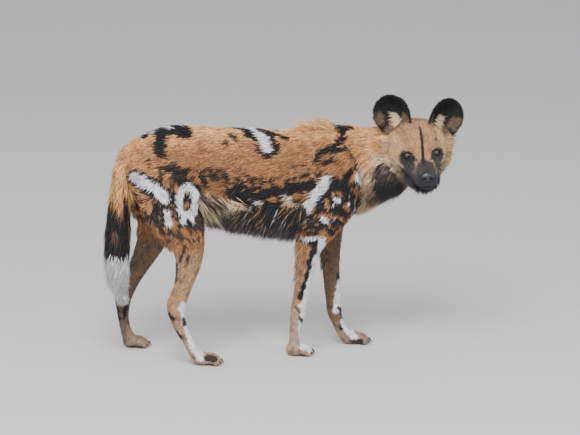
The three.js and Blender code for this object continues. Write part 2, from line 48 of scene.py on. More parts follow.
# The dog's own sizes are in millimetres, with x = 0 under the middle of its back and the floor at z = 0.
# dogShift moves them to the frame, and is read off the right eye.
headSet = {
    "place": (458, -120, 577),  # midway between the eyes
    "yaw": -89,
    "pitch": 1,
    "roll": 4,
    "eyeSpread": 37,
    "eyeRadius": 11.5,
    "lid": 2.4,
}
headTurn = Euler([math.radians(headSet[k]) for k in ("roll", "pitch", "yaw")], "XYZ").to_matrix()
headMatrix = Matrix.Translation(headSet["place"]) @ headTurn.to_4x4()
headRotation = np.array(headTurn)
headPlace = np.array(headSet["place"])


def eyeCentre(way):
    return np.array([-5.0, way * float(headSet["eyeSpread"]), 0.0])


def boxCentre(name):
    low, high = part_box(name)
    return (Vector(low) + Vector(high)) / 2


dogShift = boxCentre("eye_right") * 1000 - headMatrix @ Vector(eyeCentre(-1))
dogShift.z = 0
shiftArray = np.array(dogShift)


def toFrame(points):
    return (np.asarray(points, dtype=float) + shiftArray) / 1000


def toDog(points):
    return np.asarray(points, dtype=float) * 1000 - shiftArray


def toHead(points):
    return (points - headPlace) @ headRotation


def fromHead(local):
    return local @ headRotation.T + headPlace


def unit(vectors):
    return vectors / np.maximum(np.linalg.norm(vectors, axis=1), 1e-6)[:, None]


# Camera
view = {"lookAt": (115, 0, 382), "azimuth": -8, "elevation": 14, "distance": 8.0, "lens": 180.6}


def placeCamera():
    around, over = math.radians(view["azimuth"]), math.radians(view["elevation"])
    aim = Vector(toFrame([view["lookAt"]])[0])
    ahead = Vector((-math.sin(around) * math.cos(over), math.cos(around) * math.cos(over), -math.sin(over)))
    bpy.ops.object.camera_add(location=aim - ahead * view["distance"])
    camera = bpy.context.object
    camera.rotation_euler = ahead.to_track_quat("-Z", "Y").to_euler()
    camera.data.lens = view["lens"]
    bpy.context.scene.camera = camera


placeCamera()
print("camera placed")


def startPiece():
    if bpy.context.object and bpy.context.object.mode != "OBJECT":
        bpy.ops.object.mode_set(mode="OBJECT")
    bpy.ops.object.select_all(action="DESELECT")


def pickOnly(piece):
    startPiece()
    piece.select_set(True)
    bpy.context.view_layer.objects.active = piece


def applyModifiers(piece):
    pickOnly(piece)
    for modifier in list(piece.modifiers):
        bpy.ops.object.modifier_apply(modifier=modifier.name)


def joinPieces(pieces, name):
    pickOnly(pieces[0])
    for piece in pieces[1:]:
        piece.select_set(True)
    bpy.ops.object.join()
    pieces[0].name = name
    return pieces[0]


# The forms of the body. Each station is a ring: its centre, its half-width across, and how far it reaches
# up and down, or forward and back on a leg.
loft = {"sides": 32, "steps": 3}


def smoothRows(rows, steps):  # Catmull-Rom through the stations
    rows = np.asarray(rows, dtype=float)
    padded = np.vstack([2 * rows[0] - rows[1], rows, 2 * rows[-1] - rows[-2]])
    out = []
    for i in range(len(rows) - 1):
        a, b, c, d = padded[i:i + 4]
        for k in range(steps):
            t = k / steps
            out.append(0.5 * (2 * b + (c - a) * t + (2 * a - 5 * b + 4 * c - d) * t * t
                              + (3 * b - a - 3 * c + d) * t ** 3))
    out.append(rows[-1])
    return np.array(out)


trunk = {
    "stations": [  # x, top, bottom, half-width
        (-322, 590, 535, 30), (-305, 622, 480, 58), (-265, 648, 430, 78), (-200, 655, 410, 82),
        (-130, 650, 402, 80), (-60, 645, 392, 86), (15, 640, 378, 94), (90, 633, 364, 98),
        (150, 640, 354, 97), (205, 646, 352, 92), (255, 636, 366, 84), (292, 600, 396, 68), (316, 530, 440, 34),
    ],
    "coat": 8,
}
neck = {
    "stations": [  # centre, half-width, up, down
        (170, 0, 545, 60, 70, 90), (240, 0, 535, 80, 112, 122), (300, 4, 528, 84, 112, 120),
        (350, 9, 536, 86, 102, 108), (398, 8, 550, 85, 91, 98), (434, -10, 562, 82, 84, 86),
        (456, -45, 570, 74, 76, 74),
    ],
    "coat": 11,
}
skull = {
    "stations": [  # in the head's frame: x, top, bottom, half-width
        (-152, 40, -48, 46), (-132, 66, -72, 70), (-95, 81, -88, 86), (-62, 73, -86, 86), (-35, 56, -82, 77),
        (-14, 38, -80, 65), (2, 24, -79, 57), (18, 10, -78, 49), (38, -2, -78, 42), (62, -12, -78, 37),
        (80, -19, -77, 33), (91, -26, -72, 28), (97, -36, -60, 17),
    ],
    "coat": 4,
}
tail = {
    "stations": [  # centre, radius of the skin, radius of the brush
        (-285, 0, 606, 16, 20), (-318, 0, 590, 18, 23), (-340, 0, 555, 17, 26), (-348, 0, 510, 16, 30),
        (-353, 0, 450, 16, 35), (-358, 0, 380, 16, 40), (-362, 0, 315, 15, 40), (-362, 0, 265, 13, 36),
        (-358, 0, 222, 9, 30), (-352, 0, 190, 4, 22),
    ],
}
legs = {  # centre, half-thickness, reach forward, reach back
    "frontRight": [
        (212, -60, 612, 18, 30, 30), (232, -72, 560, 27, 48, 50), (244, -80, 490, 31, 58, 62),
        (226, -83, 420, 31, 56, 60), (176, -79, 355, 30, 50, 54), (158, -74, 310, 27, 35, 38),
        (150, -70, 265, 24, 28, 30), (143, -65, 215, 22, 25, 26), (136, -61, 165, 21, 24, 25),
        (128, -56, 122, 22, 24, 23), (122, -52, 84, 17, 18, 18), (121, -48, 52, 17, 19, 18),
        (124, -45, 24, 22, 24, 22), (128, -44, 10, 22, 24, 22),
    ],
    "frontLeft": [
        (212, 60, 612, 18, 30, 30), (232, 72, 560, 27, 48, 50), (254, 80, 490, 31, 58, 62),
        (258, 83, 425, 31, 54, 60), (244, 76, 350, 30, 42, 50), (240, 68, 290, 26, 31, 34),
        (239, 62, 232, 24, 27, 28), (241, 57, 180, 22, 25, 26), (245, 52, 132, 21, 24, 25),
        (246, 49, 96, 22, 24, 22), (258, 48, 62, 18, 19, 19), (272, 47, 34, 19, 20, 20), (286, 47, 14, 22, 22, 20),
    ],
    "hindRight": [
        (-232, -56, 612, 20, 50, 52), (-228, -70, 560, 32, 74, 78), (-222, -78, 490, 38, 88, 92),
        (-208, -84, 425, 39, 80, 84), (-186, -89, 372, 36, 62, 66), (-173, -92, 322, 30, 42, 46),
        (-178, -94, 270, 25, 33, 36), (-192, -95, 218, 21, 26, 29), (-207, -96, 172, 20, 25, 33),
        (-205, -97, 132, 19, 22, 26), (-192, -98, 94, 17, 18, 20), (-175, -99, 60, 17, 17, 18),
        (-160, -99, 32, 20, 20, 19), (-150, -99, 14, 22, 22, 20),
    ],
    "hindLeft": [
        (-236, 56, 612, 20, 50, 52), (-238, 70, 560, 32, 72, 78), (-242, 78, 490, 38, 84, 90),
        (-242, 84, 425, 39, 76, 82), (-240, 89, 366, 36, 60, 62), (-258, 93, 306, 30, 42, 44),
        (-284, 96, 252, 25, 32, 34), (-314, 98, 196, 21, 25, 28), (-334, 98, 152, 20, 24, 32),
        (-340, 98, 112, 18, 20, 22), (-338, 98, 76, 16, 17, 18), (-332, 98, 44, 18, 19, 18),
        (-324, 98, 20, 22, 24, 20), (-320, 98, 10, 22, 24, 20),
    ],
}
paws = {  # x, y and size
    "frontRight": (130, -44, 1.0), "frontLeft": (304, 47, 1.0),
    "hindRight": (-129, -99, 0.97), "hindLeft": (-310, 98, 0.97),
}


def ringsOf(stations, inset=0, roundness=2.0):
    rows = smoothRows(stations, loft["steps"])
    centres = rows[:, :3]
    ahead = unit(np.gradient(centres, axis=0))
    side = unit(np.array([0, 1.0, 0]) - ahead * ahead[:, 1:2])
    up = np.cross(ahead, side)
    angle = np.arange(loft["sides"]) * 2 * math.pi / loft["sides"]
    c, s = np.cos(angle), np.sin(angle)
    c, s = np.sign(c) * abs(c) ** (2 / roundness), np.sign(s) * abs(s) ** (2 / roundness)
    wide, high, low = (np.maximum(rows[:, k] - inset, 2)[:, None] for k in (3, 4, 5))
    over = np.where(s > 0, high * s, low * s)
    return centres[:, None] + side[:, None] * (wide * c)[..., None] + up[:, None] * over[..., None]


def loftBody(name, rings, matrix=None):  # a disc, extruded ring by ring, each new ring set to its station
    startPiece()
    bpy.ops.mesh.primitive_circle_add(vertices=loft["sides"], radius=0.01, fill_type="NGON")
    piece = bpy.context.object
    bpy.ops.object.mode_set(mode="EDIT")
    mesh = bmesh.from_edit_mesh(piece.data)
    place = mesh.verts.layers.int.new("place")
    for i, vert in enumerate(mesh.verts):
        vert[place] = i
    for k, ring in enumerate(rings):
        if k:
            bpy.ops.mesh.extrude_region_move(TRANSFORM_OT_translate={"value": (0, 0, 0.001)})
            mesh = bmesh.from_edit_mesh(piece.data)
            place = mesh.verts.layers.int["place"]
        for vert in mesh.verts:
            if vert.select:
                point = Vector(ring[vert[place]])
                vert.co = Vector(toFrame([matrix @ point if matrix else point])[0])
        bmesh.update_edit_mesh(piece.data)
    bpy.ops.mesh.select_all(action="SELECT")
    bpy.ops.mesh.normals_make_consistent(inside=False)
    bpy.ops.object.mode_set(mode="OBJECT")
    piece.name = name
    return piece


def ballAt(centre, radii, matrix=None, turn=(0, 0, 0)):
    startPiece()
    bpy.ops.mesh.primitive_uv_sphere_add(segments=24, ring_count=14, radius=1)
    piece = bpy.context.object
    local = Matrix.Translation(centre) @ Euler(turn).to_matrix().to_4x4() @ Matrix.Diagonal((*radii, 1))
    whole = (matrix @ local) if matrix else local
    for vert in piece.data.vertices:
        vert.co = Vector(toFrame([whole @ vert.co])[0])
    return piece


def barrel(rows):
    out = []
    for x, top, bottom, wide in rows:
        middle = bottom + (top - bottom) * 0.53
        out.append((x, 0, middle, wide, top - middle, middle - bottom))
    return out


bodyPieces = [
    loftBody("trunk", ringsOf(barrel(trunk["stations"]), trunk["coat"], 2.15)),
    loftBody("neck", ringsOf(neck["stations"], neck["coat"])),
    loftBody("skull", ringsOf(barrel(skull["stations"]), skull["coat"] - 1, 2.1), headMatrix),
    loftBody("tailCore", ringsOf([(x, y, z, r, r, r) for x, y, z, r, brush in tail["stations"]])),
]
for name, stations in legs.items():
    rows = []
    for x, y, z, thick, front, back in stations:
        under = (6, 7) if z > 330 else (3, 3)  # how far the skin lies below the tips of the coat
        rows.append((x, y, z, thick - under[0], front - under[1], back - under[1]))
    bodyPieces.append(loftBody(name, ringsOf(rows)))

toe = {"across": 14, "reach": (38, 31), "knuckle": (17, 8.6, 10.5), "tip": (9.5, 8.4, 9.5)}
for name, (x, y, size) in paws.items():
    bodyPieces.append(ballAt((x - 6 * size, y, 19 * size), (28 * size, 22.5 * size, 18.5 * size)))
    for k in (-1.5, -0.5, 0.5, 1.5):
        reach = toe["reach"][abs(k) > 1] * size
        long, wide, high = toe["knuckle"]
        knuckle = (x + reach - 15, y + k * toe["across"] * size, 18)
        bodyPieces.append(ballAt(knuckle, (long, wide * size, high), turn=(0, 0.35, 0)))
        long, wide, high = toe["tip"]
        tip = (x + reach - 6, y + k * (toe["across"] + 0.4) * size, 10.5)
        bodyPieces.append(ballAt(tip, (long, wide * size, high)))

headBalls = {  # in the head's frame, one to each side: centre and radii
    "brow": ((-10, 30, 16), (18, 14, 9)),
    "cheekbone": ((-24, 54, -16), (26, 15, 16)),
    "upperLip": ((60, 20, -46), (30, 14, 16)),
    "lids": (tuple(eyeCentre(1)), (13.9, 13.9, 13.9)),
}
for way in (-1, 1):
    for (x, y, z), radii in headBalls.values():
        bodyPieces.append(ballAt((x, way * y, z), radii, headMatrix))

bodyBalls = {
    "shoulderRight": ((224, -64, 520), (62, 34, 90)), "shoulderLeft": ((232, 64, 520), (62, 34, 90)),
    "haunchRight": ((-232, -52, 520), (80, 36, 90)), "haunchLeft": ((-236, 52, 520), (80, 36, 90)),
    "breast": ((250, 0, 470), (60, 52, 80)),
}
for spot, radii in bodyBalls.values():
    bodyPieces.append(ballAt(spot, radii))

ears = {
    "right": {"way": -1, "at": (-80, -61, 101), "lean": 0.34, "open": 0.3},
    "left": {"way": 1, "at": (-80, 89, 76), "lean": 0.66, "open": 0.3},
}
earSize = {"width": 97, "height": 105, "depth": 35, "thick": 5}
for side in ("right", "left"):
    at = ears[side]["at"]
    foot = [(-92, at[1] * 0.62, at[2] - 70, 32, 16, 24), (-106, at[1] * 0.74, at[2] - 46, 30, 12, 20),
            (-119, at[1] * 0.88, at[2] - 24, 22, 6, 12), (-126, at[1], at[2] - 8, 12, 4, 7)]
    bodyPieces.append(loftBody("earFoot", ringsOf(foot), headMatrix))

shell = {"voxel": 0.0044, "relax": 0.5, "rounds": 7}
skin = joinPieces(bodyPieces, "skin")
remesh = skin.modifiers.new("shell", "REMESH")
remesh.mode = "VOXEL"
remesh.voxel_size = shell["voxel"]
relax = skin.modifiers.new("relax", "SMOOTH")
relax.factor = shell["relax"]
relax.iterations = shell["rounds"]
applyModifiers(skin)
print("skin joined", len(skin.data.polygons))


# Finer faces round the eyes, nose and mouth, then the lids, lips and folds are pressed in
def refine(piece, test):
    pickOnly(piece)
    bpy.ops.object.mode_set(mode="EDIT")
    bpy.ops.mesh.select_mode(type="FACE")
    bpy.ops.mesh.select_all(action="DESELECT")
    mesh = bmesh.from_edit_mesh(piece.data)
    centres = toHead(toDog([face.calc_center_median() for face in mesh.faces]))
    for face, pick in zip(mesh.faces, test(centres)):
        face.select = bool(pick)
    bmesh.update_edit_mesh(piece.data)
    bpy.ops.mesh.subdivide(number_cuts=1, smoothness=0)
    bpy.ops.object.mode_set(mode="OBJECT")


def nearEyes(points, reach):
    near = np.zeros(len(points), dtype=bool)
    for way in (-1, 1):
        near |= np.linalg.norm(points - np.array([4, way * headSet["eyeSpread"], 0]), axis=1) < reach
    return near


def muzzleFront(points):
    return (points[:, 0] > 4) & (points[:, 2] > -90) & (points[:, 2] < 30) & (abs(points[:, 1]) < 70)


refine(skin, lambda p: nearEyes(p, 26) | muzzleFront(p))
refine(skin, lambda p: nearEyes(p, 19) | (muzzleFront(p) & (p[:, 0] > 40)))


def onToes(local):
    points = fromHead(local)
    near = np.zeros(len(points), dtype=bool)
    for x, y, size in paws.values():
        near |= (abs(points[:, 0] - x - 22 * size) < 28) & (abs(points[:, 1] - y) < 36) & (points[:, 2] < 36)
    return near


refine(skin, onToes)


def vertValues(mesh, kind):
    flat = np.empty(len(mesh.vertices) * 3)
    mesh.vertices.foreach_get(kind, flat)
    return flat.reshape(-1, 3)


def coordsOf(mesh):
    return vertValues(mesh, "co")


def normalsOf(mesh):
    return vertValues(mesh, "normal")


def step(low, high, value):
    t = np.clip((value - low) / (high - low), 0, 1)
    return t * t * (3 - 2 * t)


# The muzzle hangs a little down and to the dog's right
def muzzleDip(local):
    along = np.clip(local[:, 0] / 98, 0, 1.1)
    return np.stack([0 * along, -5 * along, -7 * along], axis=1)


face = {
    "gaze": 0.28, "slant": 0.16, "socket": 34,
    "almond": (10.2, 5.8, 4.9),  # half-width, and half-height above and below
    "behindLids": 9.0,
    "mouth": -55, "mouthDip": 12, "mouthDepth": 2.8, "mouthWidth": 1.5,
    "lipSwell": 1.2, "lipGroove": 1.4, "furrow": 1.5,
    "toeGroove": 4.6,
}


def pressEye(local, way):  # the face is drawn in round the ball, and the almond between the lids goes in behind it
    centre = eyeCentre(way)
    offset = local - centre
    far = np.linalg.norm(offset, axis=1)
    aim = offset / np.maximum(far, 1)[:, None]
    gaze = face["gaze"] * way
    forward = aim[:, 0] * math.cos(gaze) + aim[:, 1] * math.sin(gaze)
    across = (-aim[:, 0] * math.sin(gaze) + aim[:, 1] * math.cos(gaze)) * way * headSet["eyeRadius"]
    over = aim[:, 2] * headSet["eyeRadius"] - face["slant"] * across
    socket = (forward > 0) & (far < face["socket"])
    angle = np.degrees(np.arccos(np.clip(forward, -1, 1)))
    lids = headSet["eyeRadius"] + headSet["lid"] - 0.6
    reach = far + (lids - far) * step(80, 46, angle) * socket * (far > lids)
    wide, up, down = face["almond"]
    edge = np.sqrt((across / wide) ** 2 + np.where(over > 0, over / up, over / down) ** 2)
    rim = np.exp(-((edge - 1.2) / 0.16) ** 2)
    crease = np.exp(-((edge - 1.8) / 0.2) ** 2) * (over > 0)
    reach += socket * (0.9 * rim - 0.9 * crease)
    reach = np.where(socket & (edge < 1), face["behindLids"], reach)
    return centre + aim * reach[:, None]


def pressFace(piece):
    out = normalsOf(piece.data)
    outLocal = out @ headRotation
    local = toHead(toDog(coordsOf(piece.data)))
    for way in (-1, 1):
        local = pressEye(local, way)
    # the line of the mouth, and the lip above it
    x, y, z = local.T
    corner = np.clip((x - 6) / 100, 0, 1)
    line = face["mouth"] - face["mouthDip"] * np.sin(corner * math.pi * 0.85) + 4 * corner
    move = -face["mouthDepth"] * np.exp(-((z - line) / face["mouthWidth"]) ** 2) * step(4, 16, x)
    move += face["lipSwell"] * np.exp(-((z - line - 5) / 3.5) ** 2) * step(10, 40, x)
    # the groove under the nose, and a slight furrow along the top of the muzzle
    underNose = step(86, 92, x) * step(-62, -56, z) * (1 - step(-44, -40, z))
    move -= face["lipGroove"] * np.exp(-(y / 1.2) ** 2) * underNose
    onTop = step(-30, 5, x) * (1 - step(40, 70, x)) * (outLocal[:, 2] > 0.2)
    move -= face["furrow"] * np.exp(-(y / 9) ** 2) * onTop
    local = local + outLocal * move[:, None]
    world = fromHead(local + muzzleDip(local))
    # grooves between the toes
    for x, y, size in paws.values():
        ahead = step(-6, 10, world[:, 0] - x) * (world[:, 0] - x < 60)
        ahead = ahead * (abs(world[:, 1] - y) < 34) * (world[:, 2] < 40)
        for k in (-1, 0, 1):
            groove = np.exp(-((world[:, 1] - y - k * 14.2 * size) / 2.3) ** 2) * ahead
            world = world - out * (face["toeGroove"] * groove)[:, None]
    pressed = toFrame(world)
    pressed[:, 2] = np.maximum(pressed[:, 2], 0.0004)  # the pads are pressed flat on the floor
    piece.data.vertices.foreach_set("co", pressed.ravel())
    piece.data.update()


pressFace(skin)
print("face pressed")


def earTurn(side):
    way = ears[side]["way"]
    return Euler((0, 0, way * ears[side]["open"])).to_matrix() @ Euler((-way * ears[side]["lean"], 0, 0)).to_matrix()


# The ears: a ball whose front half is pushed back into a bowl
def makeEar(side):
    startPiece()
    bpy.ops.mesh.primitive_uv_sphere_add(segments=56, ring_count=48, radius=1)
    piece = bpy.context.object
    turn = earTurn(side)
    for vert in piece.data.vertices:
        polar = math.acos(max(-1, min(1, vert.co.z)))
        angle = math.atan2(vert.co.y, vert.co.x)
        front = polar < math.pi / 2
        r = min(1, (polar if front else math.pi - polar) / (math.pi / 2))
        thick = earSize["thick"] if front else 0
        c, s = math.cos(angle), math.sin(angle)
        power = 2 - 1.4 * s if s < 0 else 2
        square = (abs(c) ** power + abs(s) ** power) ** (-1 / power)
        depth = (earSize["depth"] - thick) * max(0, 1 - r * r) ** 0.85
        curl = 8 * r ** 3 * abs(c)
        ridge = 1.6 * math.sin(3 * angle + 0.6) * r * (1 - r) * 4 if front else 0
        point = Vector((
            curl - depth + ridge,
            c * r * square * (earSize["width"] / 2 - thick * r * 0.5),
            s * r * square * (earSize["height"] / 2 - thick * r * 0.5),
        ))
        spot = headMatrix @ (turn @ point + Vector(ears[side]["at"]))
        vert.co = Vector(toFrame([spot])[0])
    piece.name = "earShell_" + side
    bpy.ops.object.mode_set(mode="EDIT")
    bpy.ops.mesh.select_all(action="SELECT")
    bpy.ops.mesh.normals_make_consistent(inside=False)
    bpy.ops.object.mode_set(mode="OBJECT")
    return piece


earPieces = {side: makeEar(side) for side in ("right", "left")}
print("ears made")

# Which form of the body a point belongs to, and how its hair flows
flowForms = {  # a line of centres with radii, in the way the hair runs
    "trunk": np.array([(x, 0, m, w) for x, y, m, w, u, d in barrel(trunk["stations"])][::-1]),
    "neck": np.array([(x, y, z, w) for x, y, z, w, u, d in neck["stations"]][:1:-1]),
    "tail": np.array([(x, y, z, r + 8) for x, y, z, r, b in tail["stations"]][1:]),
}
for name, rows in legs.items():
    flowForms[name] = np.array([row[:4] for row in rows][2:])
formNames = list(flowForms) + ["head"]


def inForms(form, *names):
    return np.isin(form, [formNames.index(name) for name in names])


def nearestOn(rows, points):
    best = np.full(len(points), 1e9)
    lie = np.zeros((len(points), 3))
    for a, b in zip(rows[:-1], rows[1:]):
        way = b[:3] - a[:3]
        t = np.clip((points - a[:3]) @ way / (way @ way), 0, 1)
        radius = a[3] * (1 - t) + b[3] * t
        far = np.linalg.norm(points - (a[:3] + t[:, None] * way), axis=1) / radius
        closer = far < best
        best = np.where(closer, far, best)
        lie[closer] = way / np.linalg.norm(way)
    return best, lie


def flowAt(points, normals):
    distances, ways = [], []
    for name, rows in flowForms.items():
        far, lie = nearestOn(rows, points)
        if name == "trunk":
            lie[:, 2] -= 0.35 + 0.5 * step(430, 380, points[:, 2])
            fan = step(-20, -60, points[:, 0]) * step(-150, -120, points[:, 0]) * step(500, 440, points[:, 2])
            lie = lie + fan[:, None] * np.array([1.9, 0, -0.7])
        if name == "neck":
            lie[:, 2] -= 0.9 * step(590, 500, points[:, 2])
        distances.append(far)
        ways.append(lie)
    local = toHead(points)
    inHead = (local[:, 0] > -150) & (abs(local[:, 1]) < 125) & (local[:, 2] > -120)
    centre = np.linalg.norm((local - np.array([-50, 0, 0])) / np.array([125, 88, 92]), axis=1)
    distances.append(np.where(inHead, np.minimum(centre, 1.1) * 0.9, 9))
    lieHead = np.stack([-np.ones(len(points)), local[:, 1] / 75, (local[:, 2] - 10) / 110], axis=1)
    lieHead[:, 2] -= 0.5 * step(-60, -90, local[:, 0]) * (local[:, 2] < 20)
    lieHead[:, 0] -= 0.6 * step(20, 60, local[:, 0])
    ways.append(lieHead @ headRotation.T)
    distances = np.array(distances)
    form = distances.argmin(axis=0)
    weights = np.exp(-9 * (distances - distances.min(axis=0)))
    flow = sum(w[:, None] * lie for w, lie in zip(weights, ways))
    flow -= normals * (flow * normals).sum(axis=1)[:, None]
    return form, unit(flow)


# Soft noise from a few crossed waves, about -1 to 1
def waves(points, size, seed):
    dice = np.random.default_rng(seed)
    total = np.zeros(len(points))
    for k in range(7):
        way = dice.normal(size=3)
        way *= (0.7 + 0.9 * dice.random()) * 2 * math.pi / size / np.linalg.norm(way)
        total += np.sin(points @ way + dice.random() * 6.28)
    return total / 3.2


# Coat colours, as they look (not linear)
coat = {
    "tan": (0.635, 0.44, 0.275),
    "gold": (0.96, 0.70, 0.455),
    "rust": (0.55, 0.34, 0.18),
    "black": (0.072, 0.066, 0.072),
    "brown": (0.23, 0.18, 0.145),
    "white": (0.95, 0.95, 0.98),
    "cream": (0.80, 0.69, 0.55),
    "grey": (0.44, 0.38, 0.32),
    "leg": (0.72, 0.57, 0.43),
    # the far legs' colour is the leg colour darkened as painted shade
    "farLeg": (0.42, 0.345, 0.275),
    "paw": (0.72, 0.60, 0.52),
    "slate": (0.15, 0.15, 0.18),
    "earTan": (0.47, 0.37, 0.28),
}

# The coat's blotches on the right side, as brush strokes in the main view's 580 x 435 pixels. Each run has a
# colour and its strokes, and each stroke a width and its points. Black lies first and wider, white over it.
strokes = {
    "rump": [
        ("black", (13, (164, 132), (176, 130), (189, 134)), (12, (166, 136), (163, 153)),
         (8, (186, 128), (176, 128)), (2.5, (152, 160), (154, 168)), (3, (164, 172), (164, 184))),
        ("brown", (5, (180, 168), (176, 180))),
        ("black", (4, (190, 170), (184, 182))),
        ("brown", (3, (171, 158), (166, 170))),
        ("white", (3, (169, 128.5), (175, 129))),
    ],
    "thigh": [
        ("black", (17, (140, 178), (152, 184), (168, 198)), (12, (182, 178), (190, 186), (200, 200)),
         (14, (180, 200), (184, 214), (193, 220)), (10, (198, 190), (202, 212), (196, 222)),
         (8, (168, 205), (166, 222)), (7, (173, 170), (186, 172)), (7, (160, 205), (158, 214))),
        ("brown", (6, (156, 214), (164, 230))),
        ("black", (4, (181, 225), (194, 225), (207, 223))),
        ("brown", (5, (172, 232), (184, 238))),
        ("tan", (4, (171, 178), (173, 192)), (3, (176, 206), (176, 220))),
        ("white", (10.5, (138, 178), (150, 184), (160, 190), (167, 198)), (7, (185, 188), (181, 198), (183, 210)),
         (7, (192, 187), (198, 196), (195, 211)), (8, (184, 212), (193, 212)), (5, (186, 214), (184, 222)),
         (5, (192, 214), (195, 221)), (6, (169, 212), (171, 224))),
        ("black", (8, (188.5, 200), (188.5, 207))),
        ("tan", (3.5, (188.5, 202), (188.5, 205))),
    ],
    "back": [
        ("black", (12, (251, 132), (258, 138)), (9, (255, 130), (270, 137), (277, 148)),
         (9, (277, 150), (268, 156)), (3, (270, 134), (288, 139)), (4, (262, 152), (257, 146))),
        ("brown", (5, (234, 136), (238, 141)), (3, (226, 143), (231, 146))),
        ("white", (9, (262, 138), (267, 144), (269, 150)), (6, (257, 133), (263, 140))),
    ],
    "flank": [
        ("black", (32, (254, 209), (274, 215), (302, 215)), (15, (238, 195), (256, 200), (278, 197)),
         (10, (284, 192), (300, 188), (312, 184)), (12, (262, 224), (280, 228), (298, 228))),
        ("brown", (5, (212, 171), (214, 178)), (5, (220, 172), (221, 180))),
        ("black", (4, (228, 173), (229, 179)), (5, (204, 172), (206, 184)), (7, (240, 186), (250, 192), (258, 190)),
         (9, (256, 198), (268, 206), (280, 204)), (8, (244, 204), (256, 212), (270, 218)),
         (8, (270, 192), (284, 190), (296, 186)), (7, (282, 212), (292, 218), (298, 226)),
         (6, (262, 222), (276, 228)), (6, (236, 196), (246, 200)), (6, (290, 200), (300, 208))),
        ("tan", (3.5, (262, 210), (264, 214)), (3.5, (276, 212), (279, 215)), (4, (272, 198), (276, 200)),
         (3, (288, 222), (290, 226))),
        ("white", (4, (286, 197), (292, 202), (298, 206)), (3, (259, 203), (262, 204))),
        ("cream", (8, (288, 202), (297, 208), (303, 217))),
        ("grey", (6, (298, 212), (303, 222))),
        ("white", (3, (292, 210), (296, 214))),
        ("cream", (10, (209, 198), (222, 203)), (12, (212, 203), (230, 209), (248, 219))),
        ("brown", (18, (204, 222), (224, 232), (250, 236))),
    ],
    "shoulder": [
        ("black", (20, (318, 200), (334, 204), (350, 202)), (12, (306, 222), (322, 224), (342, 222)),
         (6, (335, 127), (355, 128)), (7, (342, 129), (343, 138), (337, 146)),
         (7, (336, 148), (322, 153), (317, 160)), (5, (330, 152), (345, 150)),
         (3, (351, 154), (355, 164), (358, 176)), (4, (326, 164), (333, 160)),
         (16, (333, 186), (345, 186), (352, 196)), (18, (340, 200), (332, 208)),
         (12, (322, 190), (318, 206), (308, 214)), (10, (356, 182), (360, 200)), (8, (345, 214), (338, 222)),
         (6, (350, 170), (345, 178)), (7, (304, 216), (316, 226)), (5, (330, 178), (318, 186)),
         (4, (300, 231), (308, 232), (317, 233)), (6, (322, 226), (332, 232))),
        ("tan", (5, (354, 188), (357, 191)), (4.5, (345, 206), (348, 209)), (4, (330, 214), (333, 216)),
         (3.5, (338, 192), (340, 195)), (4, (326, 200), (327, 206))),
        ("white", (9.5, (327, 181), (320, 190), (313, 200), (308, 209)), (4, (335, 199), (338, 201)),
         (4, (322, 218), (327, 220)), (5, (356, 174), (360, 182))),
    ],
    "rightForeleg": [
        ("black", (7, (299, 236), (310, 242)), (9, (318, 238), (315, 250), (311, 262)),
         (5, (313, 256), (307, 276), (300, 298)), (4, (306, 300), (300, 308))),
        ("tan", (5, (306, 244), (303, 262))),
        ("white", (6, (299, 233), (306, 238), (316, 236)), (7, (317, 235), (328, 229), (334, 223)),
         (7, (323, 236), (319, 256)), (9, (318, 256), (313, 276), (307, 300)),
         (11, (309, 298), (304, 308), (304, 320)), (6, (300, 306), (296, 318)),
         (6, (307, 320), (306, 340), (309, 350))),
        ("paw", (12, (297, 314), (295, 340))),
        ("white", (6, (302, 312), (301, 330), (303, 348))),
        ("grey", (2.5, (296, 306), (299, 312))),
        ("brown", (3, (299, 316), (302, 322))),
    ],
    "leftForeleg": [
        ("black", (5, (339, 276), (341, 286)), (4, (344, 322), (342, 330))),
        ("white", (8, (341, 284), (339, 298), (337, 311)), (7, (344, 324), (350, 333), (357, 342))),
        ("black", (3, (339, 309), (341, 311))),
        ("brown", (4, (354, 343), (362, 343))),
    ],
    "rightHindleg": [
        ("brown", (3, (186, 246), (182, 260)), (3, (178, 262), (177, 280)), (2.5, (190, 252), (188, 264))),
        ("white", (8, (184, 304), (187, 322), (194, 344), (201, 357))),
        ("black", (4, (177, 331), (180, 336))),
        ("brown", (3, (184, 318), (186, 324)), (5, (207, 357), (216, 358))),
        ("black", (3, (170, 312), (174, 318))),
    ],
    "leftHindleg": [
        ("black", (4, (114, 306), (115, 318), (120, 322)), (3, (124, 306), (122, 318))),
        ("grey", (7, (120, 324), (121, 344))),
        ("black", (4, (124, 349), (140, 350))),
    ],
}
sideStrokes = ("rump", "thigh", "back", "flank", "shoulder")
legStrokes = {"frontRight": "rightForeleg", "frontLeft": "leftForeleg",
              "hindRight": "rightHindleg", "hindLeft": "leftHindleg"}
throatStrokes = [
    ("cream", (12, (368, 204), (378, 206), (386, 204)), (9, (376, 158), (386, 163), (396, 168))),
    ("brown", (14, (382, 172), (390, 179), (402, 186))),
    ("black", (17, (386, 187), (396, 190), (408, 192), (426, 193)),
     (5, (378, 168), (386, 174), (396, 181), (406, 186))),
    ("grey", (3, (380, 168), (392, 178))),
    ("black", (8, (379, 182), (386, 192))),
]
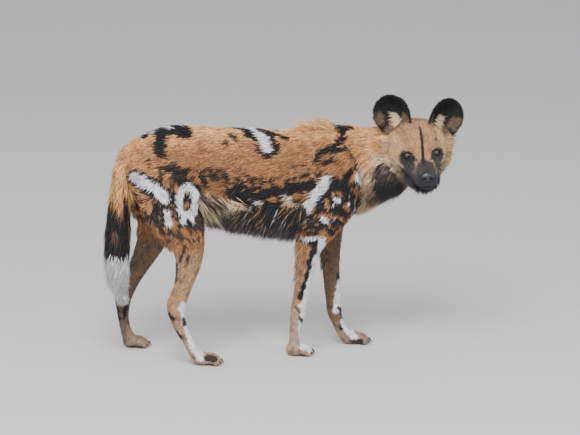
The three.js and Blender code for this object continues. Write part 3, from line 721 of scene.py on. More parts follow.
# Freckled stretches: colour, width, how much of the noise stays bare, then the points
freckles = [
    ("tan", 34, 0.76, (240, 202), (262, 208), (304, 206)), ("tan", 16, 0.8, (258, 226), (300, 228)),
    ("black", 22, 0.25, (236, 190), (268, 188), (312, 184)),
    ("tan", 26, 0.84, (312, 204), (334, 204), (352, 202)), ("tan", 16, 0.68, (306, 224), (344, 222)),
    ("grey", 24, 0.95, (262, 214), (302, 216)), ("white", 18, 1.0, (318, 214), (346, 208)),
    ("black", 18, 0.45, (204, 178), (232, 178), (262, 186)), ("black", 36, 0.12, (150, 208), (176, 202), (196, 210)),
    ("brown", 18, 0.35, (168, 170), (190, 176)), ("black", 20, 0.55, (300, 176), (334, 172)),
    ("brown", 18, 0.3, (160, 228), (180, 234), (200, 236)),
]


def photoPlace(points):
    x, y, z = points.T
    return np.stack([248.4 + 0.3601 * x - 0.0506 * y, 353.8 - 0.3528 * z - 0.01224 * x - 0.0871 * y], axis=1)


def strokeReach(spots, line):
    best = np.full(len(spots), 1e9)
    for a, b in zip(line[:-1], line[1:]):
        a, b = np.array(a, dtype=float), np.array(b, dtype=float)
        way = b - a
        t = np.clip((spots - a) @ way / max(way @ way, 1e-6), 0, 1)
        best = np.minimum(best, np.linalg.norm(spots - (a + t[:, None] * way), axis=1))
    return best


def layOn(colours, name, amount):
    colours += np.clip(amount, 0, 1)[:, None] * (np.array(coat[name]) - colours)


def freckleOn(colours, spots, points, where):
    for k, (name, width, bare, *line) in enumerate(freckles):
        inside = 1 - step(-4, 4, strokeReach(spots, line) - width / 2)
        layOn(colours, name, inside * where * step(bare - 0.06, bare + 0.16, waves(points, 21, 80 + k)))


def splitAtWhite(marks):
    first = next((i for i, mark in enumerate(marks) if mark[0] == "white"), len(marks))
    return marks[:first], marks[first:]


def brushOn(colours, spots, marks, where, rough):
    for name, *lines in marks:
        for width, *line in lines:
            reach = strokeReach(spots, line) - width / 2 + rough
            layOn(colours, name, (1 - step(-0.5, 0.6, reach)) * where)


def bodyColour(lay, points, normals, form):
    x, y, z = points.T
    lit = step(0.15, 0.75, normals[:, 2])
    lay("gold", 0.85 * lit * step(590, 640, z) + 0.25 * step(560, 620, z) + 0.08 * waves(points, 90, 3))
    lay("gold", 0.8 * step(270, 330, x) * step(505, 545, z) + 0.6 * step(-240, -290, x) * step(400, 480, z))
    lay("rust", 0.22 * step(560, 430, z) + 0.14 * waves(points, 60, 5))
    lay("black", 0.10 * step(0.5, 1.2, waves(points, 14, 6)) * (z < 640))
    # throat and breast are paler, and the underside of the belly is darkened with painted shade
    pale = step(286, 302, x + 0.25 * (z - 500) + 6 * waves(points, 30, 7)) * step(552, 522, z)
    lay("cream", 0.9 * pale)
    lay("grey", 0.6 * pale * step(0.0, 0.6, waves(points, 16, 12)))
    # painted shade where the trunk faces down, below the belly line
    lay("brown", 0.75 * step(-0.35, -0.8, normals[:, 2]) * step(450, 400, z) * inForms(form, "trunk"))
    for name in legs:
        leg = inForms(form, name)
        low = leg * step(350, 300, z)
        # the far (left) legs get the darker copy of the leg colour, which is painted shade
        lay("leg" if "Right" in name else "farLeg", 0.85 * low)
        lay("paw", 0.7 * leg * step(90, 40, z))
        lay("brown", 0.35 * low * step(0.35, 1.0, waves(points, 26, 11)))


def tailColour(lay, points, form):  # tan, then dark with a tan middle, black, and a white end
    onTail = inForms(form, "tail") * 1.0
    edge = points[:, 2] + 8 * waves(points, 40, 8)
    streak = waves(points * np.array([1, 1, 0.22]), 15, 10)
    lay("gold", 0.75 * onTail)
    lay("black", onTail * step(462, 425, edge + 26 * streak))
    lay("tan", 0.7 * onTail * step(455, 430, edge) * step(318, 345, edge) * step(0.25, 0.6, streak))
    lay("white", onTail * step(292, 284, edge))


def blotches(colours, points, form):  # the left side's are the right's mirrored, moved and warped into others
    x, y, z = points.T
    spots = photoPlace(points)
    rough = 0.9 * waves(points, 22, 21) + 0.7 * waves(points, 9, 22)
    onBody = ~inForms(form, "head", "tail")
    right = (y < 12 * waves(points, 80, 30)) & onBody
    left = ~right & onBody
    flipped = points * np.array([1, -1, 1]) + np.array([26, 0, -12])
    flipped = flipped + np.stack([24 * waves(points, 150, 31), 0 * x, 18 * waves(points, 130, 32)], axis=1)
    otherSpots = photoPlace(flipped)
    upper = z > 300
    for late in (False, True):  # freckles go over the dark strokes and under the white ones
        for name in sideStrokes:
            marks = splitAtWhite(strokes[name])[late]
            brushOn(colours, spots, marks, right & upper, rough)
            brushOn(colours, otherSpots, marks, left & upper, rough * 1.3)
        if not late:
            freckleOn(colours, spots, points, right & upper)
            freckleOn(colours, otherSpots, points, left & upper)
    for name, marks in legStrokes.items():
        brushOn(colours, spots, strokes[marks], inForms(form, name) & (z < 350), rough * 0.7)
    return spots, rough


def headColour(lay, points, local, head, ragged):
    fx, fy, fz = local.T
    lay("cream", head * 0.55 * step(40, 70, abs(fy) + 9 * waves(points, 40, 40)) * (fz < 50))
    lay("brown", 0.27 * head * (1 - step(40, 66, abs(fy))))
    lay("grey", head * 0.45 * step(-0.2, 0.6, waves(points, 9, 41)) * (1 - 0.6 * step(45, 70, abs(fy))))
    lay("brown", head * 0.5 * step(0.55, 1.0, waves(points, 6, 47)) * (fx < 30) * (1 - step(50, 75, abs(fy))))
    for setting in ears.values():
        foot = np.linalg.norm(local - np.array([-96, setting["at"][1] * 0.9, setting["at"][2] - 24]), axis=1)
        lay("earTan", 0.85 * head * step(46, 30, foot + 3 * ragged))


def faceColour(lay, points, local, head, ragged):
    fx, fy, fz = local.T
    lay("brown", head * 0.85 * step(-54, -70, fz + 4 * ragged))
    # muzzle: a round-ended dark patch on top, and dark lips and chin
    top = ((fx - 78) / 40) ** 2 + (fy / 27) ** 2 + 0.2 * ragged + 0.12 * waves(points, 5, 45)
    lay("slate", 0.93 * head * step(1.2, 0.75, top) * (fx > 10) * step(-48, -40, fz))
    lay("brown", 0.55 * head * step(8, 26, fx) * step(-6, -26, fz + 4 * ragged))
    lay("slate", head * step(-26, -42, fz + 3.5 * ragged) * step(-30, -6, fx + 0.2 * (fz + 60)))
    lay("black", 0.8 * head * step(-56, -64, fz) * step(0, 20, fx))
    for way in (-1, 1):  # the dark patch round each eye, its rim, the tear line and the inner corner
        across, over = (fy - way * 43) / 18.5, (fz + 7) / 24
        patch = across ** 2 + np.where(over > 0, over * 1.15, over) ** 2 + 0.12 * ragged + 0.14 * waves(points, 5, 46)
        lay("slate", 0.93 * head * step(1.2, 0.75, patch) * (fx > -48))
        below = (fz < -9) * (fx > -48)
        lay("grey", 0.5 * head * step(1.0, 0.7, patch) * step(0.2, 0.7, waves(points, 7, 43)) * below)
        rim = np.sqrt(((fy - way * 38) / 15) ** 2 + (fz / 10) ** 2)
        lay("black", head * step(1.25, 0.9, rim) * (fx > -30))
        tear = step(5, 2.5, abs(fy - way * 46 + 2 * ragged)) * step(-58, -48, fz) * (fz < -25) * (fx > -30)
        lay("slate", 0.6 * head * tear)
        corner = step(3.0, 1.4, abs(fz + 4 + ragged)) * (abs(fy) > 16) * (abs(fy) < 34) * (fx > -12)
        lay("slate", 0.5 * head * corner)
    stripe = step(4.6, 3.3, abs(fy - 0.13 * fz + 1 + 0.8 * ragged) + 0.9 * step(30, 66, fz))
    lay("black", head * stripe * step(-16, -6, fz) * step(70, 60, fz) * (fx > -100))
    lay("black", head * step(3.6, 2.2, np.hypot(fy - 44, fz - 33)) * (fx > -60))


def coatColour(points, normals, form):
    colours = np.tile(np.array(coat["tan"]), (len(points), 1))
    lay = partial(layOn, colours)
    bodyColour(lay, points, normals, form)
    tailColour(lay, points, form)
    spots, rough = blotches(colours, points, form)
    local = toHead(points)
    local = local - muzzleDip(local)
    head = inForms(form, "head") * 1.0
    ragged = waves(points, 10, 42)
    headColour(lay, points, local, head, ragged)
    # the dark ruff under the cheek and throat is on the side that faces the main view
    facing = inForms(form, "head", "neck") & (normals[:, 1] < 0.4) & (points[:, 0] > 300)
    brushOn(colours, spots, throatStrokes, facing, rough)
    faceColour(lay, points, local, head, ragged)
    shade = 1 + 0.07 * waves(points, 30, 50) + 0.05 * waves(points, 11, 51)
    return np.clip(colours * shade[:, None], 0, 1)


def linear(colours):
    c = np.clip(colours, 0, 1)
    return np.where(c <= 0.04045, c / 12.92, ((c + 0.055) / 1.055) ** 2.4)


def setColours(mesh, colours):
    layer = mesh.color_attributes.new("coat", "FLOAT_COLOR", "POINT")
    values = np.ones((len(colours), 4))
    values[:, :3] = linear(colours)
    layer.data.foreach_set("color", values.ravel())


skinPoints = toDog(coordsOf(skin.data))
skinNormals = normalsOf(skin.data)
skinForm = flowAt(skinPoints, skinNormals)[0]
skinColours = coatColour(skinPoints, skinNormals, skinForm)
setColours(skin.data, skinColours * 0.9)
print("skin coloured")


# An unwrap of the skin for the coat's colours: each form is rolled out along its flow
def unrolled(points, form):
    spots = np.zeros((len(points), 2))
    for i, name in enumerate(formNames):
        mine = form == i
        if not mine.any():
            continue
        p = points[mine]
        if name == "head":
            local = toHead(p)
            u, v = local[:, 0], np.arctan2(local[:, 2], local[:, 1])
            along, turn = (u + 160) / 340, (v + math.pi) / (2 * math.pi)
        else:
            rows = flowForms[name]
            axis = 2 if name in legs or name == "tail" else 0
            low, high = rows[:, axis].min() - 40, rows[:, axis].max() + 40
            along = (p[:, axis] - low) / (high - low)
            middle = np.array([np.interp(p[:, axis], np.sort(rows[:, axis]), rows[np.argsort(rows[:, axis]), k])
                               for k in range(3)]).T
            off = p - middle
            others = [k for k in range(3) if k != axis]
            turn = (np.arctan2(off[:, others[1]], off[:, others[0]]) + math.pi) / (2 * math.pi)
        column, row = i % 3, i // 3
        spots[mine, 0] = (column + 0.03 + 0.94 * np.clip(along, 0, 1)) / 3
        spots[mine, 1] = (row + 0.03 + 0.94 * turn) / 3
    return spots


def scatter(mesh, amount, density, sortFaces=False):
    mesh.calc_loop_triangles()
    tris = np.empty(len(mesh.loop_triangles) * 3, dtype=int)
    mesh.loop_triangles.foreach_get("vertices", tris)
    tris = tris.reshape(-1, 3)
    if sortFaces:  # a sphere's faces come in a new order each run
        tris = tris[np.lexsort(tris.T)]
    points = coordsOf(mesh)
    a, b, c = (points[tris[:, k]] for k in range(3))
    area = np.linalg.norm(np.cross(b - a, c - a), axis=1) / 2
    weight = area * density[tris].mean(axis=1)
    pick = np.searchsorted(np.cumsum(weight) / weight.sum(), chance.random(amount))
    pick = np.minimum(pick, len(tris) - 1)
    u, v = chance.random(amount), chance.random(amount)
    flip = u + v > 1
    u[flip], v[flip] = 1 - u[flip], 1 - v[flip]
    share = np.stack([1 - u - v, u, v], axis=1)
    normals = normalsOf(mesh)
    spot = (points[tris[pick]] * share[..., None]).sum(axis=1)
    return spot, unit((normals[tris[pick]] * share[..., None]).sum(axis=1))


# A tuft is a closed, three-sided blade: a root ring, a middle ring and a tip
tuft = {
    "faces": np.array([(0, 2, 1), (0, 1, 4), (0, 4, 3), (1, 2, 5), (1, 5, 4), (2, 0, 3), (2, 3, 5),
                       (3, 4, 6), (4, 5, 6), (5, 3, 6)]),
    "patch": np.array([(-1, -1), (1, -1), (0, -0.6), (-0.7, 0), (0.7, 0), (0, 0.4), (0, 1)]) * 0.0015,
    "sunk": 0.0018, "rootTint": 0.89, "tipTint": 1.10,
}


def growTufts(name, roots, out, lie, length, width, lift, colours, uv, bend=0.0, sag=0.0):
    n, faces = len(roots), tuft["faces"]
    across = unit(np.cross(lie, out))
    length, width, lift = (np.broadcast_to(v, n)[:, None] for v in (length, width, lift))
    curl = across * (bend * length)
    droop = np.zeros((n, 3))
    droop[:, 2] = -sag
    base = roots - out * tuft["sunk"]
    middle = roots + lie * length * 0.5 + out * lift * 0.8 + curl * 0.35 + droop * 0.3
    tip = roots + lie * length + out * lift + curl + droop
    verts = np.empty((n, 7, 3))
    for k, (centre, size) in enumerate(((base, 0.75), (middle, 1.0))):
        verts[:, 3 * k] = centre - across * width * size / 2
        verts[:, 3 * k + 1] = centre + across * width * size / 2
        verts[:, 3 * k + 2] = centre + out * width * size * 0.28
    verts[:, 6] = tip
    mesh = bpy.data.meshes.new(name)
    mesh.vertices.add(n * 7)
    mesh.vertices.foreach_set("co", verts.reshape(-1))
    corners = (faces[None] + (np.arange(n) * 7)[:, None, None]).reshape(-1)
    mesh.loops.add(len(corners))
    mesh.loops.foreach_set("vertex_index", corners.astype(np.int32))
    mesh.polygons.add(n * 10)
    mesh.polygons.foreach_set("loop_start", np.arange(0, n * 30, 3, dtype=np.int32))
    mesh.polygons.foreach_set("use_smooth", np.ones(n * 10, dtype=bool))
    mesh.update(calc_edges=True)
    tint = np.repeat(colours[:, None], 7, axis=1)
    tint[:, :3] *= tuft["rootTint"]
    tint[:, 6] *= tuft["tipTint"]
    setColours(mesh, tint.reshape(-1, 3))
    layer = mesh.uv_layers.new(name="OFBake")
    places = (uv[:, None] + tuft["patch"][None]).reshape(-1, 2)
    layer.data.foreach_set("uv", places[corners].reshape(-1))
    piece = bpy.data.objects.new(name, mesh)
    bpy.context.collection.objects.link(piece)
    return piece


# The short coat: its length in millimetres on each form of the body
shortHair = {
    "tufts": 92000, "perPiece": 18000,
    "trunk": 20, "neck": 26, "tail": 22, "head": 8, "frontRight": 11, "frontLeft": 11, "hindRight": 12, "hindLeft": 12,
}
lengthOf = np.array([shortHair[name] for name in formNames], dtype=float)


def coatLength(points, form):
    length = lengthOf[form]
    length = np.where(inForms(form, *legs), length * (0.45 + 0.75 * step(60, 420, points[:, 2])), length)
    local = toHead(points)
    onHead = 15 - 11.5 * step(-75, 20, local[:, 0]) - 2.5 * step(0, 30, local[:, 2])
    length = np.where(inForms(form, "head"), onHead, length)
    return np.maximum(length, 2.6)


def noFur(points):  # bare places: eyes, nose and pads
    local = toHead(points)
    bare = points[:, 2] < 7
    for way in (-1, 1):
        gap = local - np.array([4, way * (headSet["eyeSpread"] + 2), 0])
        bare |= np.linalg.norm(gap / np.array([1, 1.15, 0.85]), axis=1) < 13
    return bare | (np.linalg.norm((local - np.array([93, 0, -34])) / np.array([13, 19, 15]), axis=1) < 1)


def shortCoat():
    density = (1 / np.maximum(coatLength(skinPoints, skinForm), 4)) ** 1.1
    density[noFur(skinPoints)] = 0
    density[inForms(skinForm, "head")] *= 1.5
    spot, out = scatter(skin.data, shortHair["tufts"], density)
    points = toDog(spot)
    keep = ~noFur(points)
    spot, out, points = spot[keep], out[keep], points[keep]
    form, flow = flowAt(points, out)
    length = coatLength(points, form) * (0.75 + 0.5 * chance.random(len(points)))
    swirl = 0.35 * waves(points, 45, 60) + 0.22 * chance.normal(size=len(points))
    lie = unit(flow + np.cross(flow, out) * swirl[:, None])
    colours = coatColour(points + lie * length[:, None] * 0.15, out, form)
    colours *= (1 + 0.16 * chance.normal(size=len(points)))[:, None].clip(0.6, 1.4)
    colours *= 1 + 0.03 * chance.normal(size=(len(points), 3))
    width = np.clip(length * 0.1, 0.8, 1.7)
    lift = length * np.where(inForms(form, "head"), 0.09, 0.15) * (0.7 + 0.6 * chance.random(len(points)))
    uv = unrolled(points, form)
    pieces = []
    order = np.lexsort((points[:, 0], form))
    for k, part in enumerate(np.array_split(order, math.ceil(len(order) / shortHair["perPiece"]))):
        pieces.append(growTufts(
            f"coat_{k + 1}", spot[part], out[part], lie[part], length[part] / 1000, width[part] / 1000,
            lift[part] / 1000, colours[part].clip(0, 1), uv[part]))
    return pieces


coatPieces = shortCoat()
print("short coat grown", len(coatPieces))


# The tail's brush
brush = {"tufts": 13000, "length": (52, 34), "width": 2.6, "endsAbove": 146, "bend": 0.04}


def growBrush():
    high = skinPoints[:, 2]
    density = inForms(skinForm, "tail") * (high < 560) * (0.5 + 0.5 * step(560, 460, high))
    density *= 1 + 1.6 * step(330, 230, high)
    spot, out = scatter(skin.data, brush["tufts"], density)
    points = toDog(spot)
    form, flow = flowAt(points, out)
    lie = unit(flow + np.cross(flow, out) * (0.13 * chance.normal(size=len(points)))[:, None])
    least, more = brush["length"]
    length = (least + more * chance.random(len(points))) * step(600, 500, points[:, 2]).clip(0.3, 1)
    room = points[:, 2] - brush["endsAbove"] - 26 * chance.random(len(points)) ** 2
    length = np.minimum(length, np.maximum(room, 12))
    narrow = 1 - 0.85 * step(215, 150, points[:, 2] - length)
    rows = np.array(tail["stations"])[::-1]
    full = np.interp(points[:, 2], rows[:, 2], rows[:, 4] - rows[:, 3])
    lift = full * (0.2 + 0.75 * chance.random(len(points))) * narrow
    reach = 0.35 + 0.4 * step(400, 320, points[:, 2])
    colours = coatColour(points + lie * (length * reach)[:, None], out, form)
    colours *= (1 + 0.13 * chance.normal(size=len(points)))[:, None].clip(0.6, 1.3)
    return growTufts("tailBrush", spot, out, lie, length / 1000, brush["width"] / 1000, lift / 1000,
                     colours.clip(0, 1), unrolled(points, form), brush["bend"])


def hackleTint(points, colours):
    return colours * 0.4 + 0.62 * np.array(coat["gold"])


def fanTint(points, colours):
    dice = chance.random(len(points))
    streak = waves(points * np.array([0.3, 1, 1]), 26, 90)
    pale = dice < 0.10 + 0.75 * step(418, 446, points[:, 2]) * step(-0.6, 0.5, streak)
    light = np.array(coat["cream"]) * (0.78 + 0.40 * chance.random((len(points), 1)))
    dark = np.array(coat["brown"]) * (0.6 + 0.9 * chance.random((len(points), 1)))
    return np.where(pale[:, None], light, dark)


def fringeTint(points, colours):
    dice = chance.random((len(points), 1))
    front = (points[:, :1] > -30) & (abs(points[:, 1:2]) > 20)
    dark = np.array(coat["black"]) + 0.10 * dice * np.array(coat["tan"])
    other = np.where(dice > 0.87, np.array(coat["tan"]), dark)
    other = np.where(dice > 0.95, np.array(coat["white"]) * 0.7, other)
    return np.where(front, other, np.array(coat["brown"]) * (0.7 + 0.6 * dice))


def onCheeks(p, n, f):
    x, y, z = toHead(p).T
    return inForms(f, "head") * (x < -48) * (x > -135) * (z < 30) * (abs(y) > 30)


def underJaw(p, n, f):
    x, y, z = toHead(p).T
    return inForms(f, "head") * (z < -52) * (x > -120) * (x < 62)


# The other long hair, in millimetres. "where" is how thick it grows, from a point, its normal and its form, and
# "flow" is a way it leans.
longHair = {
    "ruff": {
        "tufts": 8200, "length": 46, "width": 2.0, "lift": 8, "sag": 10, "spread": 0.2, "flow": (-0.25, 0, -0.35),
        "where": lambda p, n, f: inForms(f, "neck") * step(600, 520, p[:, 2]) * (p[:, 0] > 262),
    },
    "cheekRuff": {
        "tufts": 8200, "length": 35, "width": 1.4, "lift": 15, "sag": 4, "spread": 0.24, "where": onCheeks,
    },
    "hackle": {
        "tufts": 420, "length": 30, "width": 1.5, "lift": 13, "sag": 0, "spread": 0.5, "flow": (-0.5, 0, 0.25),
        "where": lambda p, n, f: (p[:, 0] > 150) * (p[:, 0] < 250) * (abs(p[:, 1]) < 34) * (p[:, 2] > 600),
        "tint": hackleTint,
    },
    "bellyFringe": {
        "tufts": 6000, "length": 44, "width": 2.3, "lift": 6, "sag": 12, "spread": 0.3, "flow": (0.05, 0, -0.5),
        "where": lambda p, n, f: inForms(f, "trunk") * step(455, 405, p[:, 2]) * (p[:, 0] > -135) * (p[:, 0] < 150),
        "tint": fringeTint,
    },
    "flankFan": {
        "tufts": 3200, "length": 62, "width": 2.0, "lift": 7, "sag": 6, "spread": 0.12, "flow": (1.0, 0, -0.45),
        "where": lambda p, n, f: (inForms(f, "trunk") * (p[:, 0] > -150) * (p[:, 0] < -52) * (p[:, 2] > 396)
                                  * step(485, 455, p[:, 2] + 0.2 * (p[:, 0] + 130)) * (abs(n[:, 1]) > 0.2)),
        "tint": fanTint,
    },
    "jawHair": {
        "tufts": 5000, "length": 20, "width": 1.3, "lift": 7, "sag": 5, "spread": 0.2, "flow": (0, 0.15, -0.6),
        "where": underJaw,
    },
    "breeches": {
        "tufts": 1500, "length": 24, "width": 1.6, "lift": 6, "sag": 3, "spread": 0.3,
        "where": lambda p, n, f: (inForms(f, "hindRight", "hindLeft") * (p[:, 2] > 340) * (p[:, 2] < 560)
                                  * (n[:, 0] < -0.5)),
    },
    "elbowHair": {
        "tufts": 1100, "length": 22, "width": 1.5, "lift": 6, "sag": 3, "spread": 0.3,
        "where": lambda p, n, f: (inForms(f, "frontRight", "frontLeft") * (p[:, 2] > 230) * (p[:, 2] < 400)
                                  * (n[:, 0] < -0.4)),
    },
}


def growLong(name, hair):
    density = hair["where"](skinPoints, skinNormals, skinForm).astype(float)
    spot, out = scatter(skin.data, hair["tufts"], density)
    points = toDog(spot)
    form, flow = flowAt(points, out)
    if "flow" in hair:
        flow = unit(flow * 0.5 + np.array(hair["flow"]))
    swirl = hair["spread"] * chance.normal(size=len(points)) + 0.3 * waves(points, 50, 61)
    lie = unit(flow + np.cross(flow, out) * swirl[:, None])
    vary = 0.7 + 0.6 * chance.random(len(points))
    colours = coatColour(points + lie * (0.42 * hair["length"] * vary)[:, None] + out * 0.4 * hair["lift"], out, form)
    if "tint" in hair:
        colours = hair["tint"](points, colours)
    colours = colours * (1 + 0.14 * chance.normal(size=len(points)))[:, None].clip(0.6, 1.4)
    return growTufts(name, spot, out, lie, hair["length"] * vary / 1000, hair["width"] / 1000,
                     hair["lift"] * vary / 1000, colours.clip(0, 1), unrolled(points, form), 0.06, hair["sag"] / 1000)


longPieces = [growBrush()]
for name, hair in longHair.items():
    longPieces.append(growLong(name, hair))
print("long hair grown")


# Ear hair, in millimetres. The inner tufts fan out from the inner edge of each ear's opening.
earHairs = {
    "short": {"tufts": 5200, "length": 8.5, "width": 1.4, "lift": 1.6},
    "inner": {"tufts": 150, "length": 22, "width": 1.1, "lift": 8},
}


def earColour(local, side, front):
    colours = np.tile(np.array(coat["black"]), (len(local), 1))
    lay = partial(layOn, colours)
    y, z = local[:, 1] * ears[side]["way"], local[:, 2]  # y grows outward
    ragged = waves(local, 14, 70)
    lay("earTan", front * 0.85 * step(1.1, 0.7, np.hypot((y - 36) / 13, (z + 6) / 22) + 0.2 * ragged))
    lay("earTan", front * step(1.15, 0.7, np.hypot((y - 24) / 16, (z + 44) / 14) + 0.15 * ragged))
    lay("earTan", front * 0.9 * step(1.1, 0.7, np.hypot((y + 26) / 14, (z + 32) / 20) + 0.2 * ragged))
    lay("brown", (1 - front) * 0.5 * step(-10, -40, z))
    return colours


def earHair(side):
    mesh = earPieces[side].data
    way = ears[side]["way"]
    turn = np.array(earTurn(side))
    inner = headRotation @ turn

    def toEar(points):
        return (toHead(points) - np.array(ears[side]["at"])) @ turn

    verts = toEar(toDog(coordsOf(mesh)))
    normals = normalsOf(mesh) @ inner
    setColours(mesh, earColour(verts, side, step(-0.2, 0.3, normals[:, 0])) * 0.9)
    pieces = []
    for kind, hair in earHairs.items():
        short = kind == "short"
        medial = np.hypot((verts[:, 1] * way + 8) / 8, (verts[:, 2] + 24) / 16) < 1
        density = np.ones(len(verts)) if short else (medial & (normals[:, 0] > 0.1)).astype(float)
        spot, out = scatter(mesh, hair["tufts"], density, sortFaces=True)
        local = toEar(toDog(spot))
        y, z = local[:, 1], local[:, 2]
        if short:
            outward = np.stack([0 * y, y, z + 30], axis=1)
        else:
            outward = np.stack([0.3 + 0 * y, 0 * y + way * 0.9, (z + 20) / 30], axis=1)
        lie = outward @ inner.T
        lie = unit(lie - out * (lie * out).sum(axis=1)[:, None])
        lie = unit(lie + np.cross(lie, out) * (0.3 * chance.normal(size=len(spot)))[:, None])
        front = step(-0.2, 0.3, (out @ inner)[:, 0])
        colours = earColour(local, side, front) if short else np.tile(np.array(coat["cream"]) * 1.14, (len(spot), 1))
        colours *= (1 + 0.2 * chance.normal(size=len(spot)))[:, None].clip(0.5, 1.5)
        vary = 0.7 + 0.6 * chance.random(len(spot))
        limit = np.clip((54 - np.hypot(y, z)) / 8, 0.35, 1) if short else 1  # shorter toward the rim
        uv = np.stack([0.5 + y / 130, 0.5 + z / 130], axis=1) * 0.5
        uv[:, 0] += np.where(front > 0.5, 0, 0.5)
        uv[:, 1] += 0.5 if way > 0 else 0
        pieces.append(growTufts(
            f"earHair_{kind}_{side}", spot, out, lie, hair["length"] * vary * limit / 1000, hair["width"] / 1000,
            hair["lift"] * vary / 1000, colours.clip(0, 1), uv))
    return pieces


earTufts = {side: earHair(side) for side in ("right", "left")}
print("ear hair grown")


# Nose pad and eyes
nose = {"at": (93, -34), "half": (10.4, 18.6, 14.2), "hole": 9, "slit": 5, "groove": 1.6}


def makeNose():
    startPiece()
    bpy.ops.mesh.primitive_uv_sphere_add(segments=72, ring_count=48, radius=1)
    piece = bpy.context.object
    long, wide, high = nose["half"]
    for vert in piece.data.vertices:
        point = Vector((vert.co.z, vert.co.x, vert.co.y))  # poles to the front and back
        broad = wide * (1 + 0.10 * point.z - 0.16 * max(0, point.z) ** 2)
        x, y, z = nose["at"][0] + long * point.x, broad * point.y, nose["at"][1] + high * point.z
        if point.x > -0.2:
            hole = math.exp(-(((abs(y) - 8.6) / 4.0) ** 2 + ((z + 38.5) / 4.2) ** 2))
            slit = math.exp(-(((abs(y) - 14.5) / 4.6) ** 2 + ((z + 41.0 + (abs(y) - 8) * 0.1) / 1.8) ** 2))
            groove = math.exp(-(y / 1.1) ** 2) * (z < -36)
            x -= max(nose["hole"] * hole, nose["slit"] * slit) + nose["groove"] * groove
        spot = np.array([x, y, z])
        spot += muzzleDip(spot[None])[0]
        vert.co = Vector(toFrame([headMatrix @ Vector(spot)])[0])
    piece.name = "nosePad"
    return piece


nosePad = makeNose()

eye = {
    "turnOut": 0.12, "bulge": 0.05, "clearance": 0.15,
    "white": (0.22, 0.17, 0.14), "iris": (0.27, 0.155, 0.08), "pupil": (0.01, 0.01, 0.01),
    "rim": (47, 43), "irisEdge": (42, 32), "pupilEdge": (18, 15),  # degrees from where the eye looks
}


def makeEye(way, name):
    startPiece()
    bpy.ops.mesh.primitive_uv_sphere_add(segments=64, ring_count=40, radius=1)
    piece = bpy.context.object
    gaze = Euler((0, 0, eye["turnOut"] * way)).to_matrix()
    middle = Vector(eyeCentre(way))
    for vert in piece.data.vertices:
        point = Vector((vert.co.z, vert.co.x, vert.co.y))
        bulge = 1 + eye["bulge"] * max(0, (point.x - 0.75) / 0.25)
        spot = gaze @ (point * (headSet["eyeRadius"] - eye["clearance"]) * bulge) + middle
        vert.co = Vector(toFrame([headMatrix @ spot])[0])
    piece.name = name
    rays = unit(coordsOf(piece.data) - np.array(toFrame([headMatrix @ middle])[0]))
    ahead = np.array(headTurn @ (gaze @ Vector((1, 0, 0))))
    angle = np.degrees(np.arccos(np.clip(rays @ ahead, -1, 1)))
    white, iris, pupil = (np.array(eye[part]) for part in ("white", "iris", "pupil"))
    colours = np.tile(white, (len(rays), 1))
    for edge, colour in (("rim", iris * 0.3), ("irisEdge", iris), ("pupilEdge", pupil)):
        colours += step(*eye[edge], angle)[:, None] * (colour - colours)
    setColours(piece.data, colours)
    return piece


eyePieces = {"right": makeEye(-1, "eyeBall_right"), "left": makeEye(1, "eyeBall_left")}
print("nose and eyes made")


# Materials: what a material sets on its shader, then its own patterns
shaderValues = {
    "undercoat": {"Roughness": 0.85, "Specular IOR Level": 0.25, "Sheen Weight": 0.12, "Sheen Roughness": 0.5},
    "hair": {"Roughness": 0.62, "Specular IOR Level": 0.25, "Sheen Weight": 0.12, "Sheen Roughness": 0.5},
    "wetEye": {"Roughness": 0.12, "Coat Weight": 1.0, "Coat Roughness": 0.03},
    "noseLeather": {"Roughness": 0.38, "Coat Weight": 0.25, "Coat Roughness": 0.2},
    "horn": {"Roughness": 0.42},
    "paleFloor": {"Roughness": 0.9, "Base Color": (0.62, 0.61, 0.59, 1)},
}


def nodeMaterial(name):
    material = bpy.data.materials.new(name)
    material.use_nodes = True
    nodes = material.node_tree.nodes
    shader = nodes["Principled BSDF"]
    for socket, value in shaderValues[name].items():
        shader.inputs[socket].default_value = value
    return material, nodes, material.node_tree.links, shader


def addTexture(nodes, links, kind, scale):
    place = nodes.new("ShaderNodeTexCoord")
    texture = nodes.new(kind)
    texture.inputs["Scale"].default_value = scale
    links.new(place.outputs["Object"], texture.inputs["Vector"])
    return texture


def addBump(nodes, links, shader, height, strength, distance):
    bump = nodes.new("ShaderNodeBump")
    bump.inputs["Strength"].default_value = strength
    bump.inputs["Distance"].default_value = distance
    links.new(height, bump.inputs["Height"])
    links.new(bump.outputs["Normal"], shader.inputs["Normal"])
    return bump


def addRamp(nodes, links, shader, factor, low, high):
    ramp = nodes.new("ShaderNodeValToRGB")
    ramp.color_ramp.elements[0].color = (*low, 1)
    ramp.color_ramp.elements[1].color = (*high, 1)
    links.new(factor, ramp.inputs["Fac"])
    links.new(ramp.outputs["Color"], shader.inputs["Base Color"])


def pointColourMaterial(name, grainScale=0, grainBump=0):
    material, nodes, links, shader = nodeMaterial(name)
    attribute = nodes.new("ShaderNodeAttribute")
    attribute.attribute_name = "coat"
    links.new(attribute.outputs["Color"], shader.inputs["Base Color"])
    if grainBump:
        grain = addTexture(nodes, links, "ShaderNodeTexNoise", grainScale)
        grain.inputs["Detail"].default_value = 4
        addBump(nodes, links, shader, grain.outputs["Fac"], grainBump, 0.001)
    return material


def noseMaterial():
    material, nodes, links, shader = nodeMaterial("noseLeather")
    cells = addTexture(nodes, links, "ShaderNodeTexVoronoi", 750)
    addRamp(nodes, links, shader, cells.outputs["Distance"], (0.020, 0.020, 0.027), (0.006, 0.006, 0.008))
    addBump(nodes, links, shader, cells.outputs["Distance"], 0.5, 0.0006).invert = True
    return material


def clawMaterial():
    material, nodes, links, shader = nodeMaterial("horn")
    streaks = addTexture(nodes, links, "ShaderNodeTexNoise", 260)
    addRamp(nodes, links, shader, streaks.outputs["Fac"], (0.03, 0.025, 0.022), (0.12, 0.10, 0.08))
    return material


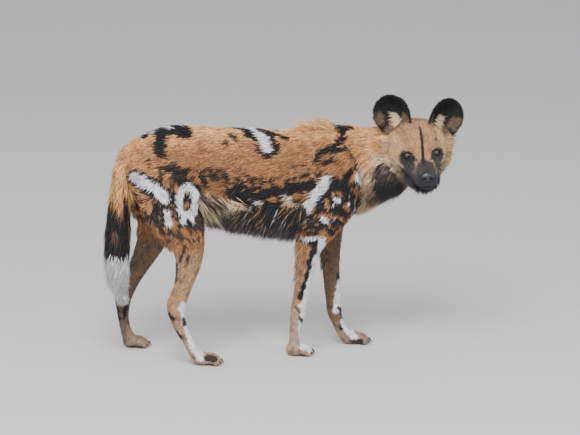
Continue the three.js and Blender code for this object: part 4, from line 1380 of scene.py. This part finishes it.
def dress(piece, material):
    piece.data.materials.clear()
    piece.data.materials.append(material)


undercoat = pointColourMaterial("undercoat", 420, 0.8)
hairMaterial = pointColourMaterial("hair", 900, 0.2)
wetEye = pointColourMaterial("wetEye")
horn = clawMaterial()
dress(nosePad, noseMaterial())
for piece in (skin, *earPieces.values()):
    dress(piece, undercoat)
for piece in coatPieces + longPieces + earTufts["right"] + earTufts["left"]:
    dress(piece, hairMaterial)
for piece in eyePieces.values():
    dress(piece, wetEye)
for name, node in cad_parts.items():
    if "claw" in name:
        node.material_slots[0].material = horn
for piece in (skin, nosePad, *earPieces.values(), *eyePieces.values()):
    piece.data.shade_smooth()
print("materials set")

# What each piece rides on, and the parts it stands for, which are hidden
fleshNodes = [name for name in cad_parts
              if not name.startswith(("eye_", "ear_")) and "claw" not in name and name != "nose"]
for piece in [skin, *coatPieces, *longPieces]:
    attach(piece, "root")
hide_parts(*fleshNodes)
for side in ("right", "left"):
    for piece in (earPieces[side], *earTufts[side]):
        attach(piece, "root")
    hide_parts("ear_" + side)
    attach(eyePieces[side], "root")
    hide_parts("eye_" + side)
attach(nosePad, "root")
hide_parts("nose")

# Floor and light
studio = {
    "floor": 14, "sky": (0.92, 0.95, 1.0, 1), "skyStrength": 0.8,
    "lamps": {"key": ((-1.2, -3.2, 4.2), 375, 3.0), "fill": ((2.2, -3.4, 2.0), 46, 1.3)},  # place, power, size
}


def makeStudio():
    startPiece()
    bpy.ops.mesh.primitive_plane_add(size=studio["floor"])
    floor = bpy.context.object
    floor.name = "floor"
    dress(floor, nodeMaterial("paleFloor")[0])
    world = bpy.data.worlds.new("studio")
    world.use_nodes = True
    background = world.node_tree.nodes["Background"]
    background.inputs["Color"].default_value = studio["sky"]
    background.inputs["Strength"].default_value = studio["skyStrength"]
    bpy.context.scene.world = world
    for spot, power, size in studio["lamps"].values():
        bpy.ops.object.light_add(type="AREA", location=spot)
        lamp = bpy.context.object
        lamp.data.energy = power
        lamp.data.size = size
        lamp.rotation_euler = (Vector((0, 0, 0.35)) - Vector(spot)).to_track_quat("-Z", "Y").to_euler()


makeStudio()
print("ready")
